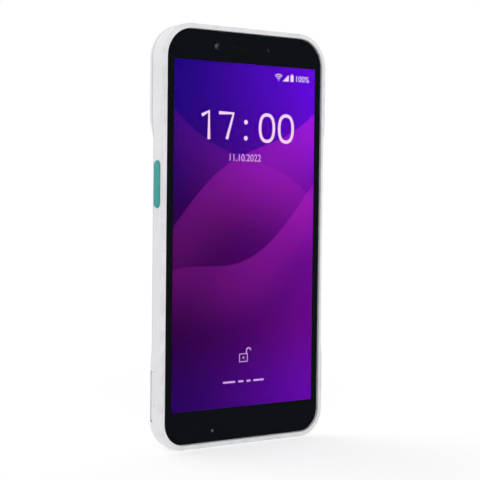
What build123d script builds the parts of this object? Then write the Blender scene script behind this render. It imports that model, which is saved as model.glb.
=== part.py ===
from build123d import *

# Slim handheld data terminal: white body, glass front, scan keys in both walls, swing-out battery pack.
# Frame: X to the user's right, Y from the screen towards the back, Z up along the body.
# The origin is in the middle of the flat bottom end. Depths are measured from the front rim.
# Lengths are in millimetres.

import os

os.makedirs("parts", exist_ok=True)

# Body shell
body_length = 165.0
body_width = 78.4  # across the head and the foot
body_depth = 15.2  # through the head
waist_step = 0.6  # how far the waist's side lies inside the head's
waist_depth = 13.4
foot_depth = 13.1
foot_height = 33.6
foot_blend = 5.4
head_height = 36.6
head_blend = 7.7
head_corner = 13.4
foot_corner = 11.0
back_rounding = 7.5
side_blend_radius = 30.0
back_blend_radius = 12.0
rim_rounding = 0.6
seam_depth = 8.0  # parting plane between the front frame and what closes the back
seam_chamfer = 0.2
frame_wall = 1.9
housing_wall = 1.4
pack_wall = 1.2
fit_gap = 0.15  # between moulded pieces that nest
groove_outer_inset = 0.8  # groove for the gasket in the head's back edge
groove_inner_inset = 1.5
groove_depth = 0.4
groove_rise = 1.5  # above the bay
gasket_gap = 0.05

# Glass and display
glass_side_margin = 2.05
glass_end_margin = 2.0
glass_thickness = 0.8
glass_recess = 0.25
glass_edge = 0.3
mask_thickness = 0.1
mask_inset = 0.1
adhesive_thickness = 0.4
adhesive_inset = 0.2  # the ring's outer edge inside the glass's
adhesive_reach = 1.35  # and its inner edge
touch_thickness = 0.3
side_border = 3.075  # black border from the glass's edge to the lit area
lit_shift = 0.4  # of the lit area to the right
head_border = 11.9
foot_border = 12.8
panel_border = 1.2
panel_foot = 3.4  # dark strip under the lit area that carries the display driver
panel_thickness = 2.0
panel_corner = 1.0
panel_gap = 0.3
ledge_thickness = 2.05

# Pieces behind the upper edge of the glass
module_drop = 7.9  # their middle below the top end
module_gap = 0.2
module_lift = 0.1  # behind the mask, or beside the middle frame
front_camera_place = -14.3
front_camera_width = 7.0
front_camera_height = 6.2
front_camera_depth = 4.0
front_lens_radius = 2.1
front_window_radius = 1.7
earpiece_place = -1.8
earpiece_slot_length = 12.2
earpiece_slot_height = 1.5
earpiece_width = 13.6
earpiece_height = 4.6
earpiece_corner = 1.0
mesh_thickness = 0.15
mesh_margin = 0.5
mesh_corner = 0.8
sensor_place = 10.5
sensor_width = 4.0
sensor_height = 3.0
sensor_window_radius = 0.9
microphone_place = -14.75
microphone_row = 6.4
microphone_hole_radius = 0.6
capsule_width = 3.5
capsule_height = 2.6

# Cast middle frame and the boards on it
plate_thickness = 1.0
boss_radius = 2.2
boss_height = 1.4
board_boss_radius = 1.8
board_thickness = 0.8
board_side_inset = 7.4
board_bottom_gap = 1.0  # above the wall under the board
board_drop = 15.0
board_tongue_half_width = 8.5
board_corner = 0.8
board_gap = 0.2  # round screws and sockets in the boards
shield_height = 1.8
shield_wall = 0.2
shield_side_inset = 5.8  # of the left can's side from the board's
shield_drop = 45.0
shield_sizes = ((22.0, 20.0), (18.0, 22.0))
shield_spacing = 3.0
lower_board_bottom = 2.4
lower_board_top = 10.0
lower_board_inset = 10.2
lower_post_height = 1.1
lower_post_inset = 5.0
lower_post_row = 6.5
lower_post_radius = 1.6
flex_thickness = 0.2
flex_left = 10.0
flex_width = 10.0
flex_bottom = 5.5
flex_reach = 6.8  # past the main board's lower edge
flex_plug_length = 3.0
flex_plug_inset = 0.5
flex_plug_rise = 1.5
flex_plug_side_inset = 1.0
flex_plug_widths = (8.0, 6.0)
flex_lift = 0.05
lamp_height = 0.8

# Screws
screw_radius = 0.9
screw_head_radius = 1.7
screw_head_height = 0.7
screw_tip_depth = 4.2
thread_gap = 0.03
board_screw_radius = 0.7
board_screw_head_radius = 1.3
board_screw_head_height = 0.6
screw_hole_gap = 0.1
driver_recess = 0.4
tray_screw_inset = 12.2
lower_screw_row = 15.0
middle_screw_drop = 6.75  # below the pack's upper edge
upper_screw_inset = 9.9
upper_screw_drop = 24.0
post_radius = 2.8
post_bore_radius = 1.9
post_gap = 0.4
post_floor_depth = 8.0
board_screw_places = (26.0, 14.0)
board_screw_rise = 3.8
board_screw_drop = 2.5

# Keys in the side walls
key_travel = 0.5
trigger_proud = 0.6
small_key_proud = 0.0
pad_clearance = 0.1  # between a pressed pad and the wall's inside
neck_margin = 0.15
key_gap = 0.12
key_edge = 0.35
trigger_share = 0.624  # of the body's length
trigger_length = 18.1
trigger_width = 4.0
trigger_depth = 4.75
power_drop = 17.6
power_length = 7.2
volume_drop = 29.4
volume_length = 12.4
volume_gap = 0.25
small_key_width = 3.2
small_key_depth = 4.9
key_flange_margin = 0.9
key_flange_thickness = 0.7
key_flange_front = 3.85
key_flange_back = 7.2
rocker_flange_length = 5.0
rocker_flange_gap = 0.15
rocker_nub_place = 4.4
nub_radius = 0.7
rocker_arm = 0.35
nub_inset = 3.4
seal_thickness = 0.5
switch_thickness = 1.1
switch_length = 3.4
stack_gap = 0.1
stack_depth = 6.0
stack_width = 2.2
support_wall = 0.8
seal_margin = 2.0
key_row_margin = 0.3

# USB socket in the bottom end
usb_width = 8.94
usb_height = 3.26
usb_wall = 0.3
usb_depth = 5.4
usb_bottom = 0.5
usb_length = 7.4
usb_gap = 0.12
tongue_width = 6.6
tongue_height = 0.7
tongue_front = 0.9  # how far the tongue lies inside the mouth
tongue_base = 1.5
usb_seal_width = 0.7
usb_seal_height = 4.2
usb_seal_thickness = 0.45
socket_fit = 0.03

# Scan engine and its window at the top end
engine_width = 22.0
engine_height = 6.0
engine_length = 11.0
engine_front = 7.6
engine_support_inset = 1.0
engine_support_height = 5.5
engine_support_drop = 1.0
engine_drop = 18.5
engine_edge = 0.4
lens_edge = 0.25
scan_lens_radius = 1.75
aim_lens_radius = 1.3
scan_lens_height = 0.6
scan_lens_place = -4.6
aim_lens_place = 5.6
window_half_width = 13.0
window_front = 9.0
window_back = 12.6
window_recess = 0.15
window_reach = 10.0  # how far down the window's opening cuts into the top end
shield_half_width = 12.2
shield_foam = 1.2
shield_tunnel = (8.6, 12.4)  # depths of its opening
shield_lift = 0.1

# Rear camera, flash, loudspeaker, motor, antennas
camera_inset = 17.7
camera_drop = 17.0
camera_size = 9.5
camera_barrel_radius = 3.2
camera_barrel_length = 0.8
camera_barrel_reach = 0.2  # into the hole of the housing
camera_hole_radius = 3.5
camera_window_radius = 4.05
camera_window_thickness = 0.7
camera_ring_radius = 5.35
camera_ring_height = 0.95
camera_step = 0.35
ring_fit = 0.05
ring_edge = 0.2
flash_spacing = 12.0  # below the camera
flash_radius = 2.3
flash_rod_radius = 1.7
flash_flange_radius = 2.8
flash_flange = 0.5
flash_gap = 0.15
flash_lift = 0.1
speaker_place = -19.0
speaker_rise = 12.3  # above the board's lower edge
speaker_width = 20.0
speaker_length = 13.0
speaker_slot_width = 1.2
speaker_slot_length = 9.0
speaker_slot_pitch = 2.6
speaker_slots = 6
speaker_gasket = 0.2
speaker_corner = 1.0
speaker_mesh_inset = 1.0
motor_rise = 21.3
motor_depth = 9.1
motor_radius = 2.1
motor_length = 8.5
motor_left = 6.0
motor_cap_radius = 1.0
motor_cap = 0.3
motor_fit = 0.05
boot_wall = 0.8
boot_inset = 1.0
hub_wall = 0.35
shaft_radius = 0.4
weight_radius = 2.0
weight_length = 3.2
weight_gap = 0.5
shaft_tip = 0.3
near_field_width = 38.0
near_field_height = 14.0
near_field_drop = 27.8
near_field_place = -6.5
near_field_corner = 1.5
ferrite_thickness = 0.2
coil_thickness = 0.1
coil_inset = 0.5
coil_width = 2.5
antenna_half_width = 22.0
antenna_thickness = 0.2
card_width = 11.0
card_thickness = 0.7
card_length = 14.8
card_lift_from_bay = 0.3
holder_width = 14.0
holder_height = 1.4
holder_end = 0.6
card_fit = 0.1
card_lift = 0.35
card_corner = 2.0

# Battery pack and its bay
pack_share = 0.55  # of the body's length
bay_gap = 0.25
divider_wall = 1.2
tray_floor_front = 6.0
tray_floor = 1.2
tray_wall = 1.0
tray_bottom = 10.4
tray_pack_gap = 0.4
bay_opening_gap = 0.5
nest_reach = 1.0  # how far the head's rim is fused into the shell
nest_fuse_inset = 1.0
pack_seam_gap = 0.15
pack_face_gap = 0.3
pack_base = pack_seam_gap + 0.5
pack_rim = 0.7
pack_lining_gap = 0.1
plunge_gap = 0.3
cell_bottom = 13.0
cell_gap = 0.3
cell_corner = 1.4
cell_lift = 0.1
cell_board_gap = 2.5
tab_inset = 15.2
tab_width = 6.0
tab_length = 1.85
tab_thickness = 1.5
tab_back_gap = 0.3
tab_gap = 0.4
tab_swing = 1.2  # room in front of a tab for its swing
contact_places = (-4.5, -1.5, 1.5, 4.5)
contact_drop = 6.25
battery_board_half_width = 20.0
battery_board_reach = (3.0, 3.5)  # below and above the contacts
battery_board_gap = 0.2
connector_half_width = 7.0
connector_half_height = 2.4
connector_lift = 0.1
contact_edge = 0.12
contact_width = 1.2
contact_length = 3.0
pad_width = 1.8
pad_length = 3.2
pad_gap = 0.2

# Battery latches in the foot's side walls
latch_bottom = 11.65
latch_top = 30.6
latch_front = 4.6
latch_back = 9.1
latch_step_front = 6.4
latch_step_row = 16.5
latch_slope_row = 18.8
latch_recess = 0.4
latch_gap = 0.25
latch_swing_gap = 0.5  # under the latch key, for the pack's swing
latch_pad = 0.8
latch_flange = 0.6
latch_fit = 0.1
latch_travel = 0.8
stem_margin = 0.3
stem_bottom = 17.2
pocket_gap = 0.5  # to the frame's wall
pocket_width = 5.1
pocket_bottom = 12.0
pocket_top = 30.0
pocket_wall = 0.7
pocket_front = 4.9
pocket_rise = 0.6  # of the bay's notch below and beside the pockets
lip_thickness = 0.5
lip_length = 0.8
stem_front = 5.7
stem_back = 7.3
clip_thickness = 0.3
clip_inset = 0.1
clip_bend = 0.5
clip_end_row = 27.0
clip_nose_row = 31.8
clip_nose_rise = 1.2
clip_nose_gap = 0.35
catch_width = 1.6
catch_reach = 0.6

# Depths that follow from the stack behind the glass
glass_back = glass_recess + glass_thickness
mask_back = glass_back + mask_thickness
ledge_front = mask_back + adhesive_thickness
ledge_back = ledge_front + ledge_thickness
panel_front = mask_back + touch_thickness
plate_back = ledge_back + plate_thickness
board_front = plate_back + boss_height
board_back = board_front + board_thickness
lower_board_front = plate_back + lower_post_height
lower_board_back = lower_board_front + board_thickness
tray_floor_back = tray_floor_front + tray_floor
pack_seam = seam_depth + pack_seam_gap
pack_face = tray_floor_back + pack_face_gap
base_back = pack_face + pack_base

# Sizes and places that follow from the ones above
glass_width = body_width - 2 * glass_side_margin
glass_length = body_length - 2 * glass_end_margin
active_half = glass_width / 2 - side_border
active_rows = (glass_end_margin + foot_border, body_length - glass_end_margin - head_border)
panel_half_width = active_half + panel_border
panel_top = active_rows[1] + panel_border
panel_bottom = active_rows[0] - panel_foot
module_row = body_length - module_drop
trigger_row = trigger_share * body_length
power_row = body_length - power_drop
volume_row = body_length - volume_drop
pack_top = pack_share * body_length
bay_top = pack_top + bay_gap
groove_bottom = bay_top + groove_rise
contact_row = pack_top - contact_drop
battery_board_rows = (contact_row - battery_board_reach[0], contact_row + battery_board_reach[1])
cell_top = battery_board_rows[0] - cell_board_gap
board_bottom = bay_top + divider_wall + board_bottom_gap
board_top = body_length - board_drop
board_half_width = body_width / 2 - board_side_inset
board_tongue_bottom = battery_board_rows[0]
lower_board_half_width = body_width / 2 - lower_board_inset
lower_post_place = lower_board_half_width - lower_post_inset
tray_screw_place = body_width / 2 - tray_screw_inset
upper_screw_place = body_width / 2 - upper_screw_inset
middle_screw_row = pack_top - middle_screw_drop
upper_screw_row = body_length - upper_screw_drop
engine_bottom = body_length - engine_drop
camera_place = body_width / 2 - camera_inset
camera_row = body_length - camera_drop
flash_row = camera_row - flash_spacing
speaker_row = board_bottom + speaker_rise
motor_row = board_bottom + motor_rise
near_field_row = body_length - near_field_drop
card_bottom = bay_top + card_lift_from_bay
waist_face = body_width / 2 - waist_step
head_face = body_width / 2
frame_inside = body_width / 2 - frame_wall
nub_end = waist_face - nub_inset
pocket_half_outer = frame_inside - pocket_gap
pocket_half_inner = pocket_half_outer - pocket_width
cell_half_width = pocket_half_inner
tab_place = body_width / 2 - tab_inset
nest_inset = frame_wall + fit_gap
tray_inset = nest_inset + tray_wall
switch_face = nub_end - stack_gap - seal_thickness - stack_gap
key_flex_face = switch_face - switch_thickness
support_face = key_flex_face - flex_thickness
engine_top = engine_bottom + engine_length
weight_left = motor_left + motor_length + weight_gap
shaft_end = weight_left + weight_length + shaft_tip
inner_back = body_depth - housing_wall
waist_inner_back = waist_depth - housing_wall
tab_back = waist_inner_back - tab_back_gap


def back(depth):
    """Y of a depth behind the front rim."""
    return depth - body_depth / 2


def screen_plane(depth):
    """Plane facing the user at a depth behind the front rim: sketch x is right, sketch y is up."""
    return Plane.XZ.offset(body_depth / 2 - depth)


def side_plane(x):
    """Plane facing right at x: sketch x runs towards the back, sketch y is up."""
    return Plane.YZ.offset(x)


def block(x_range, z_range, depth_range):
    """Plain block between two heights, two sides and two depths, for cuts and small solids."""
    with BuildPart() as plain:
        with BuildSketch(screen_plane(depth_range[0])):
            with Locations((sum(x_range) / 2, sum(z_range) / 2)):
                Rectangle(x_range[1] - x_range[0], z_range[1] - z_range[0])
        extrude(amount=depth_range[0] - depth_range[1])
    return plain.part


def round_bar(radius, place, depth_range):
    """Round bar through the body's depth, for posts, screws, lenses and their holes."""
    with BuildPart() as bar:
        with BuildSketch(screen_plane(depth_range[0])):
            with Locations(place):
                Circle(radius)
        extrude(amount=depth_range[0] - depth_range[1])
    return bar.part


def body_outline(inset):
    """Front view of the body, drawn in by inset, with the narrower waist blended into head and foot."""
    wide = body_width / 2 - inset
    narrow = wide - waist_step
    head_start = body_length - head_height
    with BuildSketch() as outline:
        with BuildLine():
            Polyline(
                (0, inset),
                (wide, inset),
                (wide, foot_height),
                (narrow, foot_height + foot_blend),
                (narrow, head_start - head_blend),
                (wide, head_start),
                (wide, body_length - inset),
                (0, body_length - inset),
            )
            mirror(about=Plane.YZ)
        make_face()
        rows = outline.vertices().group_by(Axis.Y)
        fillet(rows[0], foot_corner - inset)
        fillet(outline.vertices().group_by(Axis.Y)[-1], head_corner - inset)
        blends = outline.vertices().filter_by_position(Axis.Y, foot_height - 0.1, head_start + 0.1)
        fillet(blends, side_blend_radius)
    return outline.sketch


def body_form(inset):
    """Outer shape of the whole body, drawn in by inset except at the open front."""
    foot_y = back(foot_depth - inset)
    waist_y = back(waist_depth - inset)
    head_y = back(body_depth - inset)
    head_start = body_length - head_height
    with BuildPart() as form:
        with BuildSketch(screen_plane(0)):
            add(body_outline(inset))
        extrude(amount=inset - body_depth)
        with BuildSketch(Plane.YZ) as side:
            with BuildLine():
                Polyline(
                    (back(0), 0),
                    (foot_y, 0),
                    (foot_y, foot_height),
                    (waist_y, foot_height + foot_blend),
                    (waist_y, head_start - head_blend),
                    (head_y, head_start),
                    (head_y, body_length),
                    (back(0), body_length),
                    close=True,
                )
            make_face()
            bends = side.vertices().filter_by_position(Axis.Y, foot_height - 0.1, head_start + 0.1)
            fillet(bends, back_blend_radius)
        extrude(amount=body_width, both=True, mode=Mode.INTERSECT)
        behind = form.edges().filter_by(lambda edge: edge.center().Y > 0).filter_by(Axis.Y, reverse=True)
        across = behind.filter_by(Axis.X).filter_by_position(Axis.Z, inset + 1, body_length - inset - 1)
        fillet(behind - across, back_rounding - inset)
    return form.part


def outline_slab(inset, depth_range):
    """Slab of the body's outline between two depths."""
    with BuildPart() as slab:
        with BuildSketch(screen_plane(depth_range[0])):
            add(body_outline(inset))
        extrude(amount=depth_range[0] - depth_range[1])
    return slab.part


def glass_slab(inset, depth_range):
    """Slab of the glass's outline between two depths; a negative inset makes it larger."""
    with BuildPart() as slab:
        with BuildSketch(screen_plane(depth_range[0])) as outline:
            with Locations((0, body_length / 2)):
                Rectangle(glass_width - 2 * inset, glass_length - 2 * inset)
            fillet(outline.vertices().group_by(Axis.Y)[0], foot_corner - glass_side_margin - inset)
            fillet(outline.vertices().group_by(Axis.Y)[-1], head_corner - glass_side_margin - inset)
        extrude(amount=depth_range[0] - depth_range[1])
    return slab.part


def panel_slab(margin, depth_range):
    """Slab of the display panel's outline between two depths, larger by margin on every side."""
    half = panel_half_width + margin
    return block((-half, half), (panel_bottom - margin, panel_top + margin), depth_range)


def earpiece_slot(depth_range):
    """Bar of the earpiece slot through the glass and the mask."""
    with BuildPart() as slot:
        with BuildSketch(screen_plane(depth_range[0])):
            with Locations((earpiece_place, module_row)):
                SlotOverall(earpiece_slot_length, earpiece_slot_height)
        extrude(amount=depth_range[0] - depth_range[1])
    return slot.part


def save(part, name):
    """Label a finished piece and write it under its node name."""
    part.label = name
    export_step(part, f"parts/{name}.step")


all_across = (-body_width, body_width)
outer_form = body_form(0)
housing_inside = body_form(housing_wall)
pack_inside = body_form(pack_wall)

# Cover glass: flat toughened glass with rounded corners, an earpiece slot and a microphone hole
with BuildPart() as cover_glass:
    add(glass_slab(0, (glass_recess, glass_back)))
    front_edges = cover_glass.faces().sort_by(Axis.Y)[0].edges()
    fillet(front_edges, glass_edge)
    add(earpiece_slot((0, glass_back)), mode=Mode.SUBTRACT)
    microphone_spot = (microphone_place, microphone_row)
    add(round_bar(microphone_hole_radius, microphone_spot, (0, glass_back)), mode=Mode.SUBTRACT)
save(cover_glass.part, "cover_glass")

# Border mask: printed black layer under the glass, open over the lit area, the camera and the sensor
with BuildPart() as border_mask:
    add(glass_slab(mask_inset, (glass_back, mask_back)))
    lit_sides = (lit_shift - active_half, lit_shift + active_half)
    add(block(lit_sides, active_rows, (glass_back, mask_back)), mode=Mode.SUBTRACT)
    add(earpiece_slot((glass_back, mask_back)), mode=Mode.SUBTRACT)
    for radius, spot in (
        (front_window_radius, (front_camera_place, module_row)),
        (sensor_window_radius, (sensor_place, module_row)),
        (microphone_hole_radius, (microphone_place, microphone_row)),
    ):
        add(round_bar(radius, spot, (glass_back, mask_back)), mode=Mode.SUBTRACT)
save(border_mask.part, "border_mask")

# Adhesive ring: holds the glass on the frame's ledge and seals it
with BuildPart() as glass_adhesive:
    add(glass_slab(adhesive_inset, (mask_back, ledge_front)))
    add(glass_slab(adhesive_reach, (mask_back, ledge_front)), mode=Mode.SUBTRACT)
save(glass_adhesive.part, "glass_adhesive")

# Touch panel: thin sensor film bonded between the glass and the display
with BuildPart() as touch_panel:
    add(panel_slab(0, (mask_back, panel_front)))
save(touch_panel.part, "touch_panel")

# Display panel: glass module with its metal back
with BuildPart() as display_panel:
    add(panel_slab(0, (panel_front, panel_front + panel_thickness)))
    fillet(display_panel.edges().filter_by(Axis.Y), panel_corner)
save(display_panel.part, "display_panel")


def key_slot(wall_face, row, length, width, depth, gap):
    """Slot in the right wall for a key, as deep as the wall."""
    with BuildPart() as slot:
        with BuildSketch(side_plane(wall_face - frame_wall)):
            with Locations((back(depth), row)):
                SlotOverall(length + 2 * gap, width + 2 * gap, rotation=90)
        extrude(amount=frame_wall + 2)
    return slot.part


def latch_profile(gap, swing_gap, x_range, back_depth):
    """Side view of a latch key, larger by gap, as a bar through the right wall."""
    with BuildPart() as profile:
        with BuildSketch(side_plane(x_range[0])):
            with BuildLine():
                Polyline(
                    (back(back_depth), latch_bottom - swing_gap),
                    (back(latch_step_front - gap), latch_bottom - swing_gap),
                    (back(latch_step_front - gap), latch_step_row - swing_gap),
                    (back(latch_front - gap), latch_slope_row - swing_gap - gap),
                    (back(latch_front - gap), latch_top + gap),
                    (back(back_depth), latch_top + gap),
                    close=True,
                )
            make_face()
        extrude(amount=x_range[1] - x_range[0])
    return profile.part


def gasket_ring(gap):
    """Strip along the head's back edge, narrower by gap on every side: the gasket, or its groove."""
    with BuildPart() as ring:
        with BuildSketch(screen_plane(seam_depth - groove_depth)):
            add(body_outline(groove_outer_inset + gap))
            add(body_outline(groove_inner_inset - gap), mode=Mode.SUBTRACT)
            with Locations((0, 0)):
                Rectangle(2 * body_width, 2 * (groove_bottom + gap), mode=Mode.SUBTRACT)
        extrude(amount=-groove_depth)
    return ring.part


# Front frame: moulded band round the glass, with the ledge that carries glass and middle frame
trigger_slot = key_slot(waist_face, trigger_row, trigger_length, trigger_width, trigger_depth, key_gap)
power_slot = key_slot(head_face, power_row, power_length, small_key_width, small_key_depth, key_gap)
volume_slot = key_slot(head_face, volume_row, volume_length, small_key_width, small_key_depth, volume_gap)
latch_notch = latch_profile(latch_gap, latch_swing_gap, (frame_inside - 1, head_face + 1), seam_depth + 1)
usb_seal_reach = usb_width / 2 + usb_seal_width
seal_depths = (usb_depth - usb_seal_height / 2, usb_depth + usb_seal_height / 2)
seal_rows = (frame_wall, frame_wall + usb_seal_thickness)
usb_seal_room = block((-usb_seal_reach, usb_seal_reach), seal_rows, seal_depths)
catch_rows = (clip_nose_row - catch_width / 2, clip_nose_row + catch_width / 2)
catch_sides = (frame_inside - catch_reach, frame_inside + fit_gap)
catch = block(catch_sides, catch_rows, (stem_back, seam_depth - latch_fit))
with BuildPart() as front_frame:
    add(outer_form)
    add(block(all_across, (-1, body_length + 1), (seam_depth, body_depth + 1)), mode=Mode.SUBTRACT)
    fillet(front_frame.faces().sort_by(Axis.Y)[0].edges(), rim_rounding)
    chamfer(front_frame.faces().sort_by(Axis.Y)[-1].edges(), seam_chamfer)
    add(glass_slab(-fit_gap, (-1, ledge_front)), mode=Mode.SUBTRACT)
    add(panel_slab(panel_gap, (0, seam_depth)), mode=Mode.SUBTRACT)
    add(outline_slab(frame_wall, (ledge_back, seam_depth)), mode=Mode.SUBTRACT)
    for place, width, height in (
        (front_camera_place, front_camera_width, front_camera_height),
        (earpiece_place, earpiece_width, earpiece_height),
        (sensor_place, sensor_width, sensor_height),
    ):
        sides = (place - width / 2 - module_gap, place + width / 2 + module_gap)
        heights = (module_row - height / 2 - module_gap, module_row + height / 2 + module_gap)
        add(block(sides, heights, (0, seam_depth)), mode=Mode.SUBTRACT)
    add(round_bar(microphone_hole_radius, microphone_spot, (0, seam_depth)), mode=Mode.SUBTRACT)
    add(trigger_slot, mode=Mode.SUBTRACT)
    add(mirror(trigger_slot, about=Plane.YZ, mode=Mode.PRIVATE), mode=Mode.SUBTRACT)
    add(power_slot, mode=Mode.SUBTRACT)
    add(volume_slot, mode=Mode.SUBTRACT)
    add(latch_notch, mode=Mode.SUBTRACT)
    add(mirror(latch_notch, about=Plane.YZ, mode=Mode.PRIVATE), mode=Mode.SUBTRACT)
    add(catch)
    add(mirror(catch, about=Plane.YZ, mode=Mode.PRIVATE))
    with BuildSketch(Plane.XY.offset(-1)):
        with Locations((0, back(usb_depth))):
            SlotOverall(usb_width + 2 * usb_gap, usb_height + 2 * usb_gap)
    extrude(amount=frame_wall + 1, mode=Mode.SUBTRACT)
    add(gasket_ring(0), mode=Mode.SUBTRACT)
    add(usb_seal_room, mode=Mode.SUBTRACT)
save(front_frame.part, "front_frame")

# Housing gasket: silicone strip in the groove between the front frame and the rear housing
save(gasket_ring(gasket_gap), "housing_gasket")

# Middle frame: cast metal plate with screw bosses, board posts and the supports behind the keys
support_sides = (support_face - support_wall, support_face)
trigger_reach = trigger_length / 2 + key_flange_margin
trigger_rows = (trigger_row - trigger_reach, trigger_row + trigger_reach)
head_key_rows = (
    volume_row - volume_length / 2 - key_flange_margin,
    power_row + power_length / 2 + key_flange_margin + key_row_margin,
)
tray_screw_rows = (lower_screw_row, middle_screw_row)
tray_screws = [(side * tray_screw_place, row) for side in (-1, 1) for row in tray_screw_rows]
upper_screws = [(side * upper_screw_place, upper_screw_row) for side in (-1, 1)]
board_screw_rows = (board_bottom + board_screw_rise, board_top - board_screw_drop)
board_screw_spots = list(zip(board_screw_places, board_screw_rows))
board_screws_at = [(side * place, row) for side in (-1, 1) for place, row in board_screw_spots]
with BuildPart() as mid_frame:
    add(outline_slab(nest_inset, (ledge_back, plate_back)))
    with BuildSketch(screen_plane(plate_back)):
        with Locations(*tray_screws, *upper_screws):
            Circle(boss_radius)
        with Locations(*board_screws_at):
            Circle(board_boss_radius)
    extrude(amount=-boss_height)
    with BuildSketch(screen_plane(plate_back)):
        with Locations((-lower_post_place, lower_post_row), (lower_post_place, lower_post_row)):
            Circle(lower_post_radius)
    extrude(amount=-lower_post_height)
    engine_reach = engine_width / 2 - engine_support_inset
    support_top = engine_top - engine_support_drop
    support_rows = (support_top - engine_support_height, support_top)
    add(block((-engine_reach, engine_reach), support_rows, (plate_back, engine_front)))
    for side in (-1, 1):
        # room for the keys beside the plate
        key_rows = (trigger_rows[0] - key_row_margin, trigger_rows[1] + key_row_margin)
        for rows in (key_rows, head_key_rows):
            sides = sorted((side * support_face, side * body_width))
            add(block(sides, rows, (0, seam_depth)), mode=Mode.SUBTRACT)
    for side, rows in ((-1, trigger_rows), (1, trigger_rows), (1, head_key_rows)):
        sides = sorted((side * support_sides[0], side * support_sides[1]))
        add(block(sides, rows, (ledge_back, stack_depth + stack_width / 2)))
    camera_reach = front_camera_width / 2 + module_gap
    camera_sides = (front_camera_place - camera_reach, front_camera_place + camera_reach)
    camera_half = front_camera_height / 2 + module_gap
    camera_rows = (module_row - camera_half, module_row + camera_half)
    add(block(camera_sides, camera_rows, (0, seam_depth)), mode=Mode.SUBTRACT)
    socket_room_rows = (0, usb_bottom + usb_length + board_gap)
    add(block((-usb_seal_reach, usb_seal_reach), socket_room_rows, (0, seam_depth)), mode=Mode.SUBTRACT)
    add(round_bar(microphone_hole_radius, microphone_spot, (0, plate_back)), mode=Mode.SUBTRACT)
    for spot in (*tray_screws, *upper_screws):
        add(round_bar(screw_radius + thread_gap, spot, (ledge_back, board_front)), mode=Mode.SUBTRACT)
    for spot in board_screws_at:
        add(round_bar(board_screw_radius + thread_gap, spot, (plate_back, board_front)), mode=Mode.SUBTRACT)
save(mid_frame.part, "mid_frame")

# Front camera: square module with a round barrel against the glass
with BuildPart() as front_camera:
    with BuildSketch(screen_plane(ledge_front)):
        with Locations((front_camera_place, module_row)):
            Rectangle(front_camera_width, front_camera_height)
    extrude(amount=-front_camera_depth)
    add(round_bar(front_lens_radius, (front_camera_place, module_row), (mask_back, ledge_front)))
save(front_camera.part, "front_camera")

# Earpiece receiver and its mesh, behind the slot
with BuildPart() as earpiece:
    with BuildSketch(screen_plane(mask_back + mesh_thickness)):
        with Locations((earpiece_place, module_row)):
            RectangleRounded(earpiece_width, earpiece_height, earpiece_corner)
    extrude(amount=mask_back + mesh_thickness - ledge_back)
save(earpiece.part, "earpiece")

with BuildPart() as earpiece_mesh:
    with BuildSketch(screen_plane(mask_back)):
        with Locations((earpiece_place, module_row)):
            mesh_height = earpiece_slot_height + 2 * mesh_margin
            RectangleRounded(earpiece_slot_length + 2 * mesh_margin, mesh_height, mesh_corner)
    extrude(amount=-mesh_thickness)
save(earpiece_mesh.part, "earpiece_mesh")

# Light sensor, on the middle frame behind its window in the mask
with BuildPart() as light_sensor:
    sensor_sides = (sensor_place - sensor_width / 2, sensor_place + sensor_width / 2)
    sensor_rows = (module_row - sensor_height / 2, module_row + sensor_height / 2)
    add(block(sensor_sides, sensor_rows, (mask_back + module_lift, ledge_back)))
save(light_sensor.part, "light_sensor")

# Main board: behind the head, with a tongue down into the battery bay and the flash lamp soldered on
with BuildPart() as main_board:
    add(block((-board_half_width, board_half_width), (board_bottom, board_top), (board_front, board_back)))
    tongue_sides = (-board_tongue_half_width, board_tongue_half_width)
    add(block(tongue_sides, (board_tongue_bottom, board_bottom), (board_front, board_back)))
    fillet(main_board.edges().filter_by(Axis.Y), board_corner)
    for spot in upper_screws:
        add(round_bar(post_radius + post_gap, spot, (board_front, board_back)), mode=Mode.SUBTRACT)
    for spot in board_screws_at:
        add(round_bar(board_screw_radius + board_gap, spot, (board_front, board_back)), mode=Mode.SUBTRACT)
    lamp_sides = (camera_place - flash_rod_radius, camera_place + flash_rod_radius)
    lamp_rows = (flash_row - flash_rod_radius, flash_row + flash_rod_radius)
    add(block(lamp_sides, lamp_rows, (board_back, board_back + lamp_height)))
save(main_board.part, "main_board")

# Shield cans: two thin lids over the board's chips
with BuildPart() as shield_cans:
    can_left = shield_side_inset - board_half_width
    for width, height in shield_sizes:
        sides = (can_left, can_left + width)
        rows = (body_length - shield_drop, body_length - shield_drop + height)
        can_left = can_left + width + shield_spacing
        add(block(sides, rows, (board_back, board_back + shield_height)))
        inner_sides = (sides[0] + shield_wall, sides[1] - shield_wall)
        inner_rows = (rows[0] + shield_wall, rows[1] - shield_wall)
        cavity = (board_back, board_back + shield_height - shield_wall)
        add(block(inner_sides, inner_rows, cavity), mode=Mode.SUBTRACT)
save(shield_cans.part, "shield_cans")

# Board screws: pan heads on the board, threads in the middle frame's posts
with BuildPart() as board_screws:
    for spot in board_screws_at:
        add(round_bar(board_screw_radius, spot, (plate_back, board_back)))
        add(round_bar(board_screw_head_radius, spot, (board_back, board_back + board_screw_head_height)))
save(board_screws.part, "board_screws")

# Scan engine with its receiving and aiming lenses, foam shield and window at the top end
with BuildPart() as scan_engine:
    engine_sides = (-engine_width / 2, engine_width / 2)
    add(block(engine_sides, (engine_bottom, engine_top), (engine_front, engine_front + engine_height)))
    chamfer(scan_engine.edges().filter_by(Axis.Z), engine_edge)
save(scan_engine.part, "scan_engine")

engine_middle = engine_front + engine_height / 2
with BuildPart() as scan_lenses:
    with BuildSketch(Plane.XY.offset(engine_top)):
        with Locations((scan_lens_place, back(engine_middle))):
            Circle(scan_lens_radius)
        with Locations((aim_lens_place, back(engine_middle))):
            Circle(aim_lens_radius)
    extrude(amount=scan_lens_height)
    chamfer(scan_lenses.faces().group_by(Axis.Z)[-1].edges(), lens_edge)
save(scan_lenses.part, "scan_lenses")

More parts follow.
